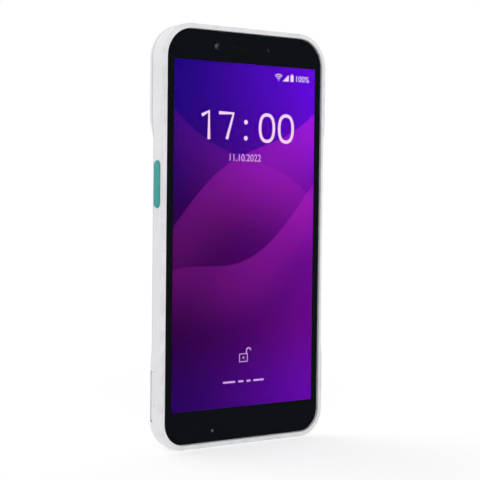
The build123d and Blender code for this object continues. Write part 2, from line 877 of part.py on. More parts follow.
shield_sides = (-shield_half_width, shield_half_width)
shield_rows = (engine_top, body_length - tray_inset - fit_gap)
with BuildPart() as scan_light_shield:
    add(block(shield_sides, shield_rows, (engine_front, engine_front + engine_height)))
    inner_sides = (shield_foam - shield_half_width, shield_half_width - shield_foam)
    add(block(inner_sides, shield_rows, shield_tunnel), mode=Mode.SUBTRACT)
    add(body_form(housing_wall + shield_lift), mode=Mode.INTERSECT)
save(scan_light_shield.part, "scan_light_shield")

window_rows = (body_length - window_reach, body_length + 1)
with BuildPart() as scan_window:
    add(body_form(window_recess))
    add(body_form(housing_wall), mode=Mode.SUBTRACT)
    window_sides = (-window_half_width, window_half_width)
    add(block(window_sides, window_rows, (window_front, window_back)), mode=Mode.INTERSECT)
save(scan_window.part, "scan_window")

# Rear camera: module on the board, window and ring in the housing's back wall
camera_spot = (camera_place, camera_row)
camera_seat = inner_back + camera_step
with BuildPart() as rear_camera:
    camera_block_sides = (camera_place - camera_size / 2, camera_place + camera_size / 2)
    camera_block_rows = (camera_row - camera_size / 2, camera_row + camera_size / 2)
    barrel_end = inner_back + camera_barrel_reach
    camera_block_back = barrel_end - camera_barrel_length
    add(block(camera_block_sides, camera_block_rows, (board_back, camera_block_back)))
    add(round_bar(camera_barrel_radius, camera_spot, (camera_block_back, barrel_end)))
save(rear_camera.part, "rear_camera")

with BuildPart() as camera_window:
    add(round_bar(camera_window_radius, camera_spot, (camera_seat, camera_seat + camera_window_thickness)))
save(camera_window.part, "camera_window")

with BuildPart() as camera_ring:
    add(round_bar(camera_ring_radius, camera_spot, (camera_seat, camera_seat + camera_ring_height)))
    window_room = round_bar(camera_window_radius + ring_fit, camera_spot, (camera_seat, body_depth))
    add(window_room, mode=Mode.SUBTRACT)
    chamfer(camera_ring.faces().sort_by(Axis.Y)[-1].edges(), ring_edge)
save(camera_ring.part, "camera_ring")

# Flash lens: clear rod from the lamp on the board to the back, flanged behind the wall
flash_spot = (camera_place, flash_row)
with BuildPart() as flash_lens:
    add(round_bar(flash_rod_radius, flash_spot, (board_back + lamp_height + flash_lift, inner_back)))
    add(round_bar(flash_flange_radius, flash_spot, (inner_back - flash_flange, inner_back)))
    add(round_bar(flash_radius, flash_spot, (inner_back, body_depth - flash_lift)))
save(flash_lens.part, "flash_lens")

# Loudspeaker on the board, with the mesh behind the housing's slots
speaker_sides = (speaker_place - speaker_width / 2, speaker_place + speaker_width / 2)
speaker_rows = (speaker_row - speaker_length / 2, speaker_row + speaker_length / 2)
with BuildPart() as loudspeaker:
    add(block(speaker_sides, speaker_rows, (board_back, waist_inner_back - speaker_gasket)))
    chamfer(loudspeaker.edges().filter_by(Axis.Y), speaker_corner)
save(loudspeaker.part, "loudspeaker")

with BuildPart() as speaker_mesh:
    mesh_sides = (speaker_sides[0] + speaker_mesh_inset, speaker_sides[1] - speaker_mesh_inset)
    mesh_rows = (speaker_rows[0] + speaker_mesh_inset, speaker_rows[1] - speaker_mesh_inset)
    add(block(mesh_sides, mesh_rows, (waist_inner_back - mesh_thickness, waist_inner_back)))
save(speaker_mesh.part, "speaker_mesh")

# Vibration motor: can in a rubber boot on the board, half-round weight on its shaft
with BuildPart() as vibration_motor:
    with BuildSketch(side_plane(motor_left)):
        with Locations((back(motor_depth), motor_row)):
            Circle(motor_radius)
    extrude(amount=motor_length)
    with BuildSketch(side_plane(motor_left + motor_length)):
        with Locations((back(motor_depth), motor_row)):
            Circle(motor_cap_radius)
    extrude(amount=motor_cap)
save(vibration_motor.part, "vibration_motor")

with BuildPart() as motor_boot:
    boot_sides = (motor_left + boot_inset, motor_left + motor_length - boot_inset)
    boot_half = motor_radius + boot_wall
    add(block(boot_sides, (motor_row - boot_half, motor_row + boot_half), (board_back, waist_inner_back)))
    with BuildSketch(side_plane(motor_left)):
        with Locations((back(motor_depth), motor_row)):
            Circle(motor_radius + motor_fit)
    extrude(amount=motor_length, mode=Mode.SUBTRACT)
save(motor_boot.part, "motor_boot")

with BuildPart() as motor_weight:
    with BuildSketch(side_plane(weight_left)):
        with Locations((back(motor_depth), motor_row)):
            Circle(weight_radius)
            with Locations((0, weight_radius / 2 + shaft_radius)):
                Rectangle(2 * weight_radius, weight_radius, mode=Mode.SUBTRACT)
            Circle(shaft_radius + hub_wall)
    extrude(amount=weight_length)
    with BuildSketch(side_plane(motor_left + motor_length + motor_cap)):
        with Locations((back(motor_depth), motor_row)):
            Circle(shaft_radius)
    extrude(amount=shaft_end - motor_left - motor_length - motor_cap)
save(motor_weight.part, "motor_weight")

# Near-field antenna: flat coil on a ferrite sheet, stuck inside the head's back wall
with BuildPart() as near_field_antenna:
    with BuildSketch(screen_plane(inner_back - coil_thickness - ferrite_thickness)):
        with Locations((near_field_place, near_field_row)):
            RectangleRounded(near_field_width, near_field_height, near_field_corner)
    extrude(amount=-ferrite_thickness)
    with BuildSketch(screen_plane(inner_back - coil_thickness)):
        with Locations((near_field_place, near_field_row)):
            for inset, mode in ((coil_inset, Mode.ADD), (coil_inset + coil_width, Mode.SUBTRACT)):
                Rectangle(near_field_width - 2 * inset, near_field_height - 2 * inset, mode=mode)
    extrude(amount=-coil_thickness)
save(near_field_antenna.part, "near_field_antenna")

# Upper antenna: thin strip inside the top wall
with BuildPart() as upper_antenna:
    strip_top = body_length - frame_wall
    antenna_sides = (-antenna_half_width, antenna_half_width)
    add(block(antenna_sides, (strip_top - antenna_thickness, strip_top), (plate_back, key_flange_back)))
save(upper_antenna.part, "upper_antenna")

# Lower board with the USB socket, its seal and the microphone
with BuildPart() as lower_board:
    half = lower_board_half_width
    add(block((-half, half), (lower_board_bottom, lower_board_top), (lower_board_front, lower_board_back)))
    socket_half = usb_width / 2
    socket_rows = (0, usb_bottom + usb_length)
    add(block((-socket_half, socket_half), socket_rows, (0, body_depth)), mode=Mode.SUBTRACT)
save(lower_board.part, "lower_board")

with BuildPart() as usb_shell:
    with BuildSketch(Plane.XY.offset(usb_bottom)):
        with Locations((0, back(usb_depth))):
            SlotOverall(usb_width, usb_height)
            SlotOverall(usb_width - 2 * usb_wall, usb_height - 2 * usb_wall, mode=Mode.SUBTRACT)
    extrude(amount=usb_length)
save(usb_shell.part, "usb_shell")

with BuildPart() as usb_tongue:
    with BuildSketch(Plane.XY.offset(usb_bottom + usb_length - tongue_base)):
        with Locations((0, back(usb_depth))):
            inner_fit = 2 * (usb_wall + socket_fit)
            SlotOverall(usb_width - inner_fit, usb_height - inner_fit)
    extrude(amount=tongue_base)
    with BuildSketch(Plane.XY.offset(usb_bottom + tongue_front)):
        with Locations((0, back(usb_depth))):
            Rectangle(tongue_width, tongue_height)
    extrude(amount=usb_length - tongue_front - tongue_base)
save(usb_tongue.part, "usb_tongue")

with BuildPart() as usb_seal:
    with BuildSketch(Plane.XY.offset(frame_wall)):
        with Locations((0, back(usb_depth))):
            SlotOverall(usb_width + 2 * usb_seal_width, usb_seal_height)
            SlotOverall(usb_width + 2 * socket_fit, usb_height + 2 * socket_fit, mode=Mode.SUBTRACT)
    extrude(amount=usb_seal_thickness)
save(usb_seal.part, "usb_seal")

with BuildPart() as lower_microphone:
    capsule_sides = (microphone_place - capsule_width / 2, microphone_place + capsule_width / 2)
    capsule_rows = (microphone_row - capsule_height / 2, microphone_row + capsule_height / 2)
    add(block(capsule_sides, capsule_rows, (plate_back, lower_board_front)))
save(lower_microphone.part, "lower_microphone")

# Link flex: flat cable between the two boards along the middle frame, with a plug block at each end
with BuildPart() as link_flex:
    flex_front = plate_back + flex_lift
    flex_back = flex_front + flex_thickness
    flex_top = board_bottom + flex_reach
    add(block((flex_left, flex_left + flex_width), (flex_bottom, flex_top), (flex_front, flex_back)))
    plug_bottoms = (flex_bottom + flex_plug_inset, flex_top - flex_plug_rise - flex_plug_length)
    plug_backs = (lower_board_front, board_front)
    for width, plug_bottom, plug_back in zip(flex_plug_widths, plug_bottoms, plug_backs):
        plug_left = flex_left + flex_plug_side_inset
        plug_rows = (plug_bottom, plug_bottom + flex_plug_length)
        add(block((plug_left, plug_left + width), plug_rows, (flex_back, plug_back)))
save(link_flex.part, "link_flex")

# Card holder on the board and the memory card, which goes in from the battery bay
card_front = board_back + card_lift
with BuildPart() as card_holder:
    holder_rows = (board_bottom, card_bottom + card_length + holder_end)
    add(block((-holder_width / 2, holder_width / 2), holder_rows, (board_back, board_back + holder_height)))
    slot_half = card_width / 2 + card_fit
    slot_rows = (board_bottom, card_bottom + card_length)
    slot_depths = (card_front, card_front + card_thickness + card_fit)
    add(block((-slot_half, slot_half), slot_rows, slot_depths), mode=Mode.SUBTRACT)
save(card_holder.part, "card_holder")

with BuildPart() as memory_card:
    card_rows = (card_bottom, card_bottom + card_length)
    add(block((-card_width / 2, card_width / 2), card_rows, (card_front, card_front + card_thickness)))
    chamfer(memory_card.edges().filter_by(Axis.Y).group_by(Axis.Z)[-1].sort_by(Axis.X)[-1], card_corner)
save(memory_card.part, "memory_card")

# Bay connector on the board's tongue, with four spring contacts
connector_back = tray_floor_back + connector_lift
with BuildPart() as bay_connector:
    connector_sides = (-connector_half_width, connector_half_width)
    connector_rows = (contact_row - connector_half_height, contact_row + connector_half_height)
    add(block(connector_sides, connector_rows, (board_back, connector_back)))
save(bay_connector.part, "bay_connector")

with BuildPart() as bay_contacts:
    for place in contact_places:
        sides = (place - contact_width / 2, place + contact_width / 2)
        rows = (contact_row - contact_length / 2, contact_row + contact_length / 2)
        add(block(sides, rows, (connector_back, pack_face)))
    chamfer(bay_contacts.faces().group_by(Axis.Y)[-1].edges().filter_by(Axis.X), contact_edge)
save(bay_contacts.part, "bay_contacts")


def side_key(wall_face, proud, row, length, width, depth, flange, nubs):
    """Key of the right wall: pad in its slot, flange behind the wall and nubs towards the switches.

    flange is its length and its gap to the wall; nubs are heights from the key's middle.
    """
    wall_inside = wall_face - frame_wall
    pad_inside = wall_inside + key_travel + pad_clearance
    flange_face = wall_inside - flange[1]
    neck_front = max(key_flange_front, depth - width / 2 + neck_margin)
    neck_back = depth + width / 2 - neck_margin
    with BuildPart() as key:
        with BuildSketch(side_plane(pad_inside)):
            with Locations((back(depth), row)):
                SlotOverall(length, width, rotation=90)
        extrude(amount=wall_face + proud - pad_inside)
        fillet(key.faces().sort_by(Axis.X)[-1].edges(), key_edge)
        with BuildSketch(side_plane(flange_face)):
            with Locations((back((neck_front + neck_back) / 2), row)):
                Rectangle(neck_back - neck_front, min(length - width, flange[0]))
        extrude(amount=pad_inside - flange_face)
        with BuildSketch(side_plane(flange_face)):
            with Locations((back((key_flange_front + key_flange_back) / 2), row)):
                Rectangle(key_flange_back - key_flange_front, flange[0])
        extrude(amount=-key_flange_thickness)
        with BuildSketch(side_plane(nub_end)):
            with Locations(*[(back(stack_depth), row + nub) for nub in nubs]):
                Circle(nub_radius)
        extrude(amount=flange_face - key_flange_thickness - nub_end)
        if max(nubs) > flange[0] / 2:
            # arms that carry the outer nubs, clear of the wall
            with BuildSketch(side_plane(flange_face - key_flange_thickness)):
                with Locations((back(stack_depth), row)):
                    Rectangle(2 * nub_radius, 2 * max(nubs) + 2 * nub_radius)
            extrude(amount=rocker_arm)
    return key.part


# Trigger keys: teal scan keys at mid height, the same in both walls
trigger_flange = (trigger_length + 2 * key_flange_margin, 0)
right_trigger = side_key(
    waist_face,
    trigger_proud,
    trigger_row,
    trigger_length,
    trigger_width,
    trigger_depth,
    trigger_flange,
    [0],
)
left_trigger = mirror(right_trigger, about=Plane.YZ)
save(right_trigger, "right_trigger_key")
save(left_trigger, "left_trigger_key")

# Power key and volume rocker in the right wall of the head
power_flange = (power_length + 2 * key_flange_margin, 0)
power_key = side_key(
    head_face, small_key_proud, power_row, power_length, small_key_width, small_key_depth, power_flange, [0]
)
save(power_key, "power_key")

rocker_flange = (rocker_flange_length, rocker_flange_gap)
rocker_nubs = [-rocker_nub_place, rocker_nub_place]
volume_rocker = side_key(
    head_face,
    small_key_proud,
    volume_row,
    volume_length,
    small_key_width,
    small_key_depth,
    rocker_flange,
    rocker_nubs,
)
save(volume_rocker, "volume_rocker")

# Rubber seals, switches and flexes behind the keys, in that order inwards
stack_depths = (stack_depth - stack_width / 2, stack_depth + stack_width / 2)
seal_sides = (switch_face + stack_gap, nub_end - stack_gap)
flex_sides = (key_flex_face - flex_thickness, key_flex_face)
trigger_seal_reach = trigger_length / 2 - seal_margin
trigger_seal_rows = (trigger_row - trigger_seal_reach, trigger_row + trigger_seal_reach)
head_seal_rows = (head_key_rows[0] + key_row_margin, head_key_rows[1] - key_row_margin)
right_switch_rows = (trigger_row, volume_row - rocker_nub_place, volume_row + rocker_nub_place, power_row)


def left_of(sides):
    """The same range on the left side."""
    return (-sides[1], -sides[0])


with BuildPart() as left_key_seal:
    add(block(left_of(seal_sides), trigger_seal_rows, stack_depths))
save(left_key_seal.part, "left_key_seal")

with BuildPart() as right_key_seal:
    add(block(seal_sides, trigger_seal_rows, stack_depths))
    add(block(seal_sides, head_seal_rows, stack_depths))
save(right_key_seal.part, "right_key_seal")

with BuildPart() as side_switches:
    switch_sides = (key_flex_face, switch_face)
    for sides, rows in ((left_of(switch_sides), (trigger_row,)), (switch_sides, right_switch_rows)):
        for row in rows:
            add(block(sides, (row - switch_length / 2, row + switch_length / 2), stack_depths))
save(side_switches.part, "side_switches")

with BuildPart() as left_key_flex:
    add(block(left_of(flex_sides), trigger_seal_rows, stack_depths))
save(left_key_flex.part, "left_key_flex")

with BuildPart() as right_key_flex:
    add(block(flex_sides, (trigger_seal_rows[0], head_seal_rows[1]), stack_depths))
save(right_key_flex.part, "right_key_flex")

# Rear housing: back shell of the head, with the battery tray moulded on below it
above_bay = (bay_top, body_length + 1)
rim_front = key_flange_back + module_gap
pocket_sides = (pocket_half_inner - tray_pack_gap, body_width)
pocket_room = block(pocket_sides, (tray_bottom + pocket_rise, foot_height), (0, body_depth / 2 + 1))
screw_hole_radius = screw_radius + screw_hole_gap
tray_screw_seat = tray_floor_back - screw_head_height
with BuildPart() as head_room:
    add(housing_inside)
    add(block(all_across, (bay_top + divider_wall, body_length), (0, body_depth)), mode=Mode.INTERSECT)
with BuildPart() as nested_rim:
    add(outline_slab(nest_fuse_inset, (seam_depth, seam_depth + nest_reach)))
    add(outline_slab(nest_inset, (rim_front, seam_depth)))
    add(outline_slab(tray_inset, (0, seam_depth + nest_reach)), mode=Mode.SUBTRACT)
    add(block(all_across, above_bay, (0, body_depth)), mode=Mode.INTERSECT)
with BuildPart() as tray:
    add(outline_slab(nest_inset, (tray_floor_front, seam_depth)))
    add(block(all_across, (tray_bottom, bay_top + divider_wall), (0, body_depth)), mode=Mode.INTERSECT)
    with BuildSketch(screen_plane(tray_floor_back)):
        add(body_outline(tray_inset))
        with Locations((0, (tray_bottom + tray_floor + bay_top) / 2)):
            Rectangle(body_width, bay_top - tray_bottom - tray_floor, mode=Mode.INTERSECT)
    extrude(amount=tray_floor_back - seam_depth, mode=Mode.SUBTRACT)
    with BuildSketch(screen_plane(tray_floor_back)):
        add(body_outline(nest_inset))
        with Locations((0, tray_bottom / 2)):
            Rectangle(body_width, tray_bottom, mode=Mode.INTERSECT)
    extrude(amount=tray_floor_back - seam_depth)
with BuildPart() as rear_housing:
    add(outer_form)
    add(block(all_across, above_bay, (seam_depth, body_depth + 1)), mode=Mode.INTERSECT)
    seam_edges = rear_housing.faces().sort_by(Axis.Y)[0].edges()
    chamfer(seam_edges.filter_by_position(Axis.Z, bay_top + seam_chamfer, body_length), seam_chamfer)
    add(head_room.part, mode=Mode.SUBTRACT)
    add(nested_rim.part)
    add(tray.part)
    for spot in upper_screws:
        add(round_bar(post_radius, spot, (board_front, inner_back)))
        add(round_bar(post_bore_radius, spot, (post_floor_depth, body_depth + 1)), mode=Mode.SUBTRACT)
        add(round_bar(screw_hole_radius, spot, (board_front, post_floor_depth)), mode=Mode.SUBTRACT)
    for spot in tray_screws:
        add(round_bar(post_bore_radius, spot, (tray_screw_seat, seam_depth)), mode=Mode.SUBTRACT)
        add(round_bar(screw_hole_radius, spot, (tray_floor_front, seam_depth)), mode=Mode.SUBTRACT)
    # openings from the bay to the board: bay connector and memory card
    divider_rows = (bay_top - 1, bay_top + divider_wall + 1)
    tongue_room = board_tongue_half_width + bay_opening_gap
    tongue_rows = (board_tongue_bottom - bay_opening_gap, bay_top + divider_wall)
    add(block((-tongue_room, tongue_room), tongue_rows, (0, tray_floor_back)), mode=Mode.SUBTRACT)
    card_room = (card_front - module_gap, card_front + card_thickness + module_gap)
    card_reach = card_width / 2 + bay_opening_gap
    add(block((-card_reach, card_reach), divider_rows, card_room), mode=Mode.SUBTRACT)
    # pockets for the pack's tabs and its latch pockets
    for side in (-1, 1):
        tab_reach = tab_width / 2 + tab_gap
        tab_sides = (side * tab_place - tab_reach, side * tab_place + tab_reach)
        tab_depths = (tab_back - tab_thickness - tab_swing, waist_inner_back)
        add(block(tab_sides, divider_rows, tab_depths), mode=Mode.SUBTRACT)
    add(pocket_room, mode=Mode.SUBTRACT)
    add(mirror(pocket_room, about=Plane.YZ, mode=Mode.PRIVATE), mode=Mode.SUBTRACT)
    # openings in the back and the top end
    through_back = (inner_back - 1, body_depth + 1)
    ring_seat = (camera_seat, body_depth + 1)
    add(round_bar(camera_hole_radius, camera_spot, through_back), mode=Mode.SUBTRACT)
    add(round_bar(camera_ring_radius + ring_fit, camera_spot, ring_seat), mode=Mode.SUBTRACT)
    add(round_bar(flash_radius + flash_gap, flash_spot, through_back), mode=Mode.SUBTRACT)
    with BuildSketch(screen_plane(waist_inner_back - 1)):
        with Locations((speaker_place, speaker_row)):
            with GridLocations(speaker_slot_pitch, 1, speaker_slots, 1):
                SlotOverall(speaker_slot_length, speaker_slot_width, rotation=90)
    extrude(amount=-housing_wall - 2, mode=Mode.SUBTRACT)
    opening_sides = (-window_half_width - fit_gap, window_half_width + fit_gap)
    opening_depths = (window_front - fit_gap, window_back + fit_gap)
    add(block(opening_sides, window_rows, opening_depths), mode=Mode.SUBTRACT)
    add(usb_seal_room, mode=Mode.SUBTRACT)
save(rear_housing.part, "rear_housing")

# Housing screws: four in the tray's floor under the pack, two in deep posts in the head
with BuildPart() as housing_screws:
    for spots, seat in ((tray_screws, tray_screw_seat), (upper_screws, post_floor_depth)):
        for spot in spots:
            add(round_bar(screw_radius, spot, (screw_tip_depth, seat)))
            add(round_bar(screw_head_radius, spot, (seat, seat + screw_head_height)))
        with BuildSketch(screen_plane(seat + screw_head_height)):
            with Locations(*spots):
                RegularPolygon(screw_radius, 6)
        extrude(amount=driver_recess, mode=Mode.SUBTRACT)
save(housing_screws.part, "housing_screws")

# Battery cover: back shell of the waist and foot, with two tabs under the housing's lower edge
latch_room_sides = (pocket_half_outer - latch_travel, head_face + 1)
right_latch_room = latch_profile(latch_gap, latch_gap, latch_room_sides, latch_back + latch_gap)
left_latch_room = mirror(right_latch_room, about=Plane.YZ)
below_pack_top = (-1, pack_top)
with BuildPart() as pack_room:
    add(pack_inside)
    add(block(all_across, (0, pack_top - pack_wall), (0, body_depth)), mode=Mode.INTERSECT)
with BuildPart() as battery_cover:
    add(outer_form)
    add(block(all_across, below_pack_top, (pack_seam, body_depth + 1)), mode=Mode.INTERSECT)
    seam_edges = battery_cover.faces().sort_by(Axis.Y)[0].edges()
    chamfer(seam_edges.filter_by_position(Axis.Z, -1, pack_top - seam_chamfer), seam_chamfer)
    add(pack_room.part, mode=Mode.SUBTRACT)
    for side in (-1, 1):
        tab_sides = (side * tab_place - tab_width / 2, side * tab_place + tab_width / 2)
        tab_rows = (pack_top - pack_wall, pack_top + tab_length)
        add(block(tab_sides, tab_rows, (tab_back - tab_thickness, tab_back)))
    add(right_latch_room, mode=Mode.SUBTRACT)
    add(left_latch_room, mode=Mode.SUBTRACT)
save(battery_cover.part, "battery_cover")

# Battery base: inner half of the pack's case, with the two pockets that carry the latches
pocket_depths = (pocket_front, pack_face)
plunge_rows = (tray_bottom + tray_floor + tray_pack_gap, pack_top)
with BuildPart() as latch_pocket:
    outer_sides = (pocket_half_inner, pocket_half_outer)
    add(block(outer_sides, (pocket_bottom, pocket_top), (pocket_front, pocket_front + pocket_wall)))
    add(block(outer_sides, (pocket_bottom, pocket_bottom + pocket_wall), pocket_depths))
    inner_wall_sides = (pocket_half_inner, pocket_half_inner + pocket_wall)
    add(block(inner_wall_sides, (pocket_bottom, pocket_top), pocket_depths))
    upper_wall = (pocket_top - pocket_wall, pocket_top)
    add(block((pocket_half_inner, pocket_half_inner + 2 * pocket_wall), upper_wall, pocket_depths))
    add(block((pocket_half_outer - 2 * lip_thickness, pocket_half_outer), upper_wall, pocket_depths))
    lip_sides = (pocket_half_outer - lip_thickness, pocket_half_outer)
    lower_lip = (pocket_bottom, pocket_bottom + pocket_wall + lip_length)
    upper_lip = (pocket_top - pocket_wall - lip_length, pocket_top)
    add(block(lip_sides, lower_lip, pocket_depths))
    add(block(lip_sides, upper_lip, pocket_depths))
with BuildPart() as battery_base:
    add(body_form(pack_wall + pack_lining_gap))
    rim_rows = (0, pack_top - pack_wall - pack_lining_gap)
    add(block(all_across, rim_rows, (base_back, base_back + pack_rim)), mode=Mode.INTERSECT)
    cell_room_sides = (-cell_half_width - cell_gap, cell_half_width + cell_gap)
    cell_room_rows = (cell_bottom - cell_gap, cell_top + cell_gap)
    add(block(cell_room_sides, cell_room_rows, (base_back, body_depth)), mode=Mode.SUBTRACT)
    board_reach = battery_board_half_width + battery_board_gap
    board_room_rows = (battery_board_rows[0] - battery_board_gap, battery_board_rows[1] + battery_board_gap)
    add(block((-board_reach, board_reach), board_room_rows, (base_back, body_depth)), mode=Mode.SUBTRACT)
    add(right_latch_room, mode=Mode.SUBTRACT)
    add(left_latch_room, mode=Mode.SUBTRACT)
    with BuildSketch(screen_plane(pack_face)):
        add(body_outline(tray_inset + plunge_gap))
        with Locations((0, sum(plunge_rows) / 2)):
            Rectangle(body_width, plunge_rows[1] - plunge_rows[0], mode=Mode.INTERSECT)
    extrude(amount=-pack_base)
    add(latch_pocket.part)
    add(mirror(latch_pocket.part, about=Plane.YZ, mode=Mode.PRIVATE))
    with BuildSketch(screen_plane(pack_face)):
        with Locations(*[(place, contact_row) for place in contact_places]):
            Rectangle(pad_width + pad_gap, pad_length + pad_gap)
    extrude(amount=-pack_base, mode=Mode.SUBTRACT)
save(battery_base.part, "battery_base")

# Battery cell: flat pouch between base and cover
with BuildPart() as battery_cell:
    cell_depths = (base_back, min(foot_depth, waist_depth) - pack_wall - cell_lift)
    add(block((-cell_half_width, cell_half_width), (cell_bottom, cell_top), cell_depths))
    fillet(battery_cell.edges().filter_by(Axis.Z), cell_corner)
save(battery_cell.part, "battery_cell")

# Battery board: protection circuit on the base, with gold pads through the base's windows
with BuildPart() as battery_board:
    battery_board_sides = (-battery_board_half_width, battery_board_half_width)
    add(block(battery_board_sides, battery_board_rows, (base_back, base_back + board_thickness)))
    with BuildSketch(screen_plane(pack_face)):
        with Locations(*[(place, contact_row) for place in contact_places]):
            Rectangle(pad_width, pad_length)
    extrude(amount=-pack_base)
save(battery_board.part, "battery_board")

# Latch keys: pads in the foot's side walls, on stems that slide in the base's pockets
pad_inset = latch_recess + latch_pad
flange_face = pocket_half_outer - lip_thickness - latch_fit
flange_inside = flange_face - latch_flange
with BuildPart() as right_latch:
    add(body_form(latch_recess))
    add(body_form(pad_inset), mode=Mode.SUBTRACT)
    add(latch_profile(0, 0, (frame_inside - 1, head_face + 1), latch_back), mode=Mode.INTERSECT)
    stem_rows = (stem_bottom, pocket_top - pocket_wall - lip_length - stem_margin)
    add(block((flange_face, head_face - latch_pad), stem_rows, (stem_front, stem_back)))
    latch_flange_rows = (pocket_bottom + pocket_wall + stem_margin, pocket_top - pocket_wall - stem_margin)
    add(block((flange_inside, flange_face), latch_flange_rows, (stem_front, stem_back)))
left_latch = mirror(right_latch.part, about=Plane.YZ)
save(right_latch.part, "right_latch_key")
save(left_latch, "left_latch_key")

# Latch clips: bent spring strips that push the keys out and hook under the frame's catches
inner_leg = pocket_half_inner + pocket_wall + clip_thickness / 2
outer_leg = flange_inside - clip_thickness / 2
clip_foot = pocket_bottom + pocket_wall + clip_inset + clip_thickness / 2
clip_nose = frame_inside - clip_nose_gap
with BuildPart() as right_clip:
    with BuildSketch(screen_plane(stem_front + clip_inset)):
        with BuildLine():
            FilletPolyline(
                (inner_leg, clip_end_row),
                (inner_leg, clip_foot),
                (outer_leg, clip_foot),
                (outer_leg, clip_nose_row - clip_nose_rise),
                (clip_nose, clip_nose_row),
                (outer_leg + clip_bend, clip_nose_row + clip_nose_rise),
                radius=clip_bend,
            )
        trace(line_width=clip_thickness)
    extrude(amount=stem_front - stem_back + 2 * clip_inset)
left_clip = mirror(right_clip.part, about=Plane.YZ)
save(right_clip.part, "right_latch_clip")
save(left_clip, "left_latch_clip")
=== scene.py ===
import math

import bmesh
import bpy
from mathutils import Matrix, Vector


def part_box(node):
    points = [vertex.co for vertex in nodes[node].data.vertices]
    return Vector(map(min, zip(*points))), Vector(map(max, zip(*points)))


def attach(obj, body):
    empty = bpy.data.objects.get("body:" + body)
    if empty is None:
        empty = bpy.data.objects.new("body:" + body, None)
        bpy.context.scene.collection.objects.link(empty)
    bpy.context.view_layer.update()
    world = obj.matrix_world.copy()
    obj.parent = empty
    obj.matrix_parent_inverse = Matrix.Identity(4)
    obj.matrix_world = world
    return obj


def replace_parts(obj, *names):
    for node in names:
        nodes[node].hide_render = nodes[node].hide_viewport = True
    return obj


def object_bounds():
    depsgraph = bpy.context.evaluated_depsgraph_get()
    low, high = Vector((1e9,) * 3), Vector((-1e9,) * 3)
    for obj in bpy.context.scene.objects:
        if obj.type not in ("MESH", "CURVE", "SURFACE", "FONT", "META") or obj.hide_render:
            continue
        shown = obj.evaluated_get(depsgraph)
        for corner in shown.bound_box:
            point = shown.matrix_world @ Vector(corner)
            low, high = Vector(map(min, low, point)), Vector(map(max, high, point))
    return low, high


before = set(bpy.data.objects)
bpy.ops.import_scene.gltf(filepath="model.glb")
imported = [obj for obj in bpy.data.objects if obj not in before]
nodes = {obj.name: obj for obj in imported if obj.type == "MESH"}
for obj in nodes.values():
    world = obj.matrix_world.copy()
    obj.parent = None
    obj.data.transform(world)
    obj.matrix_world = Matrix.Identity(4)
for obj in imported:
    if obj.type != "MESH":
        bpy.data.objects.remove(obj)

cad_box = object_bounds()


# ---------------------------------------------------------------------------
# White shells: front frame, rear housing and battery cover, injection moulded
# in white polycarbonate with a fine spark-eroded satin, handled at the edges.
# ---------------------------------------------------------------------------
def put(tree, kind, sockets=None, **settings):
    """A node in a tree; a socket given another node's output is linked to it."""
    node = tree.nodes.new(kind)
    for key, value in settings.items():
        setattr(node, key, value)
    for key, value in (sockets or {}).items():
        if isinstance(value, bpy.types.NodeSocket):
            tree.links.new(value, node.inputs[key])
        else:
            node.inputs[key].default_value = value
    return node


def sums(tree, operation, *terms, clamp=False):
    """The output of a Math node on up to three terms."""
    node = put(tree, "ShaderNodeMath", dict(enumerate(terms)), operation=operation, use_clamp=clamp)
    return node.outputs[0]


def ramp(tree, value, low, high):
    """How far a value has come from low to high, from 0 to 1, with soft ends."""
    sockets = {"Value": value, "From Min": low, "From Max": high}
    return put(tree, "ShaderNodeMapRange", sockets, interpolation_type="SMOOTHSTEP").outputs[0]


def tint(tree, factor, first, second):
    """Two colours mixed by a factor."""
    node = put(tree, "ShaderNodeMix", {"Factor": factor}, data_type="RGBA")
    for key, value in (("A", first), ("B", second)):
        socket = [s for s in node.inputs if s.name == key and s.type == "RGBA"][0]
        if isinstance(value, bpy.types.NodeSocket):
            tree.links.new(value, socket)
        else:
            socket.default_value = value
    return [s for s in node.outputs if s.type == "RGBA"][0]


def paint(red, green, blue):
    """A linear colour from 8-bit display values."""
    shares = [part / 255 for part in (red, green, blue)]
    return tuple(s / 12.92 if s <= 0.04045 else ((s + 0.055) / 1.055) ** 2.4 for s in shares) + (1.0,)


def new_effect(name, inputs, outputs):
    """An empty node group with plain number or vector inputs and number outputs."""
    group = bpy.data.node_groups.new(name, "ShaderNodeTree")
    for label, value in inputs.items():
        kind = "NodeSocketFloat" if isinstance(value, float) else "NodeSocketVector"
        group.interface.new_socket(label, in_out="INPUT", socket_type=kind).default_value = value
    for label in outputs:
        group.interface.new_socket(label, in_out="OUTPUT", socket_type="NodeSocketFloat")
    return group, group.nodes.new("NodeGroupInput").outputs, group.nodes.new("NodeGroupOutput").inputs


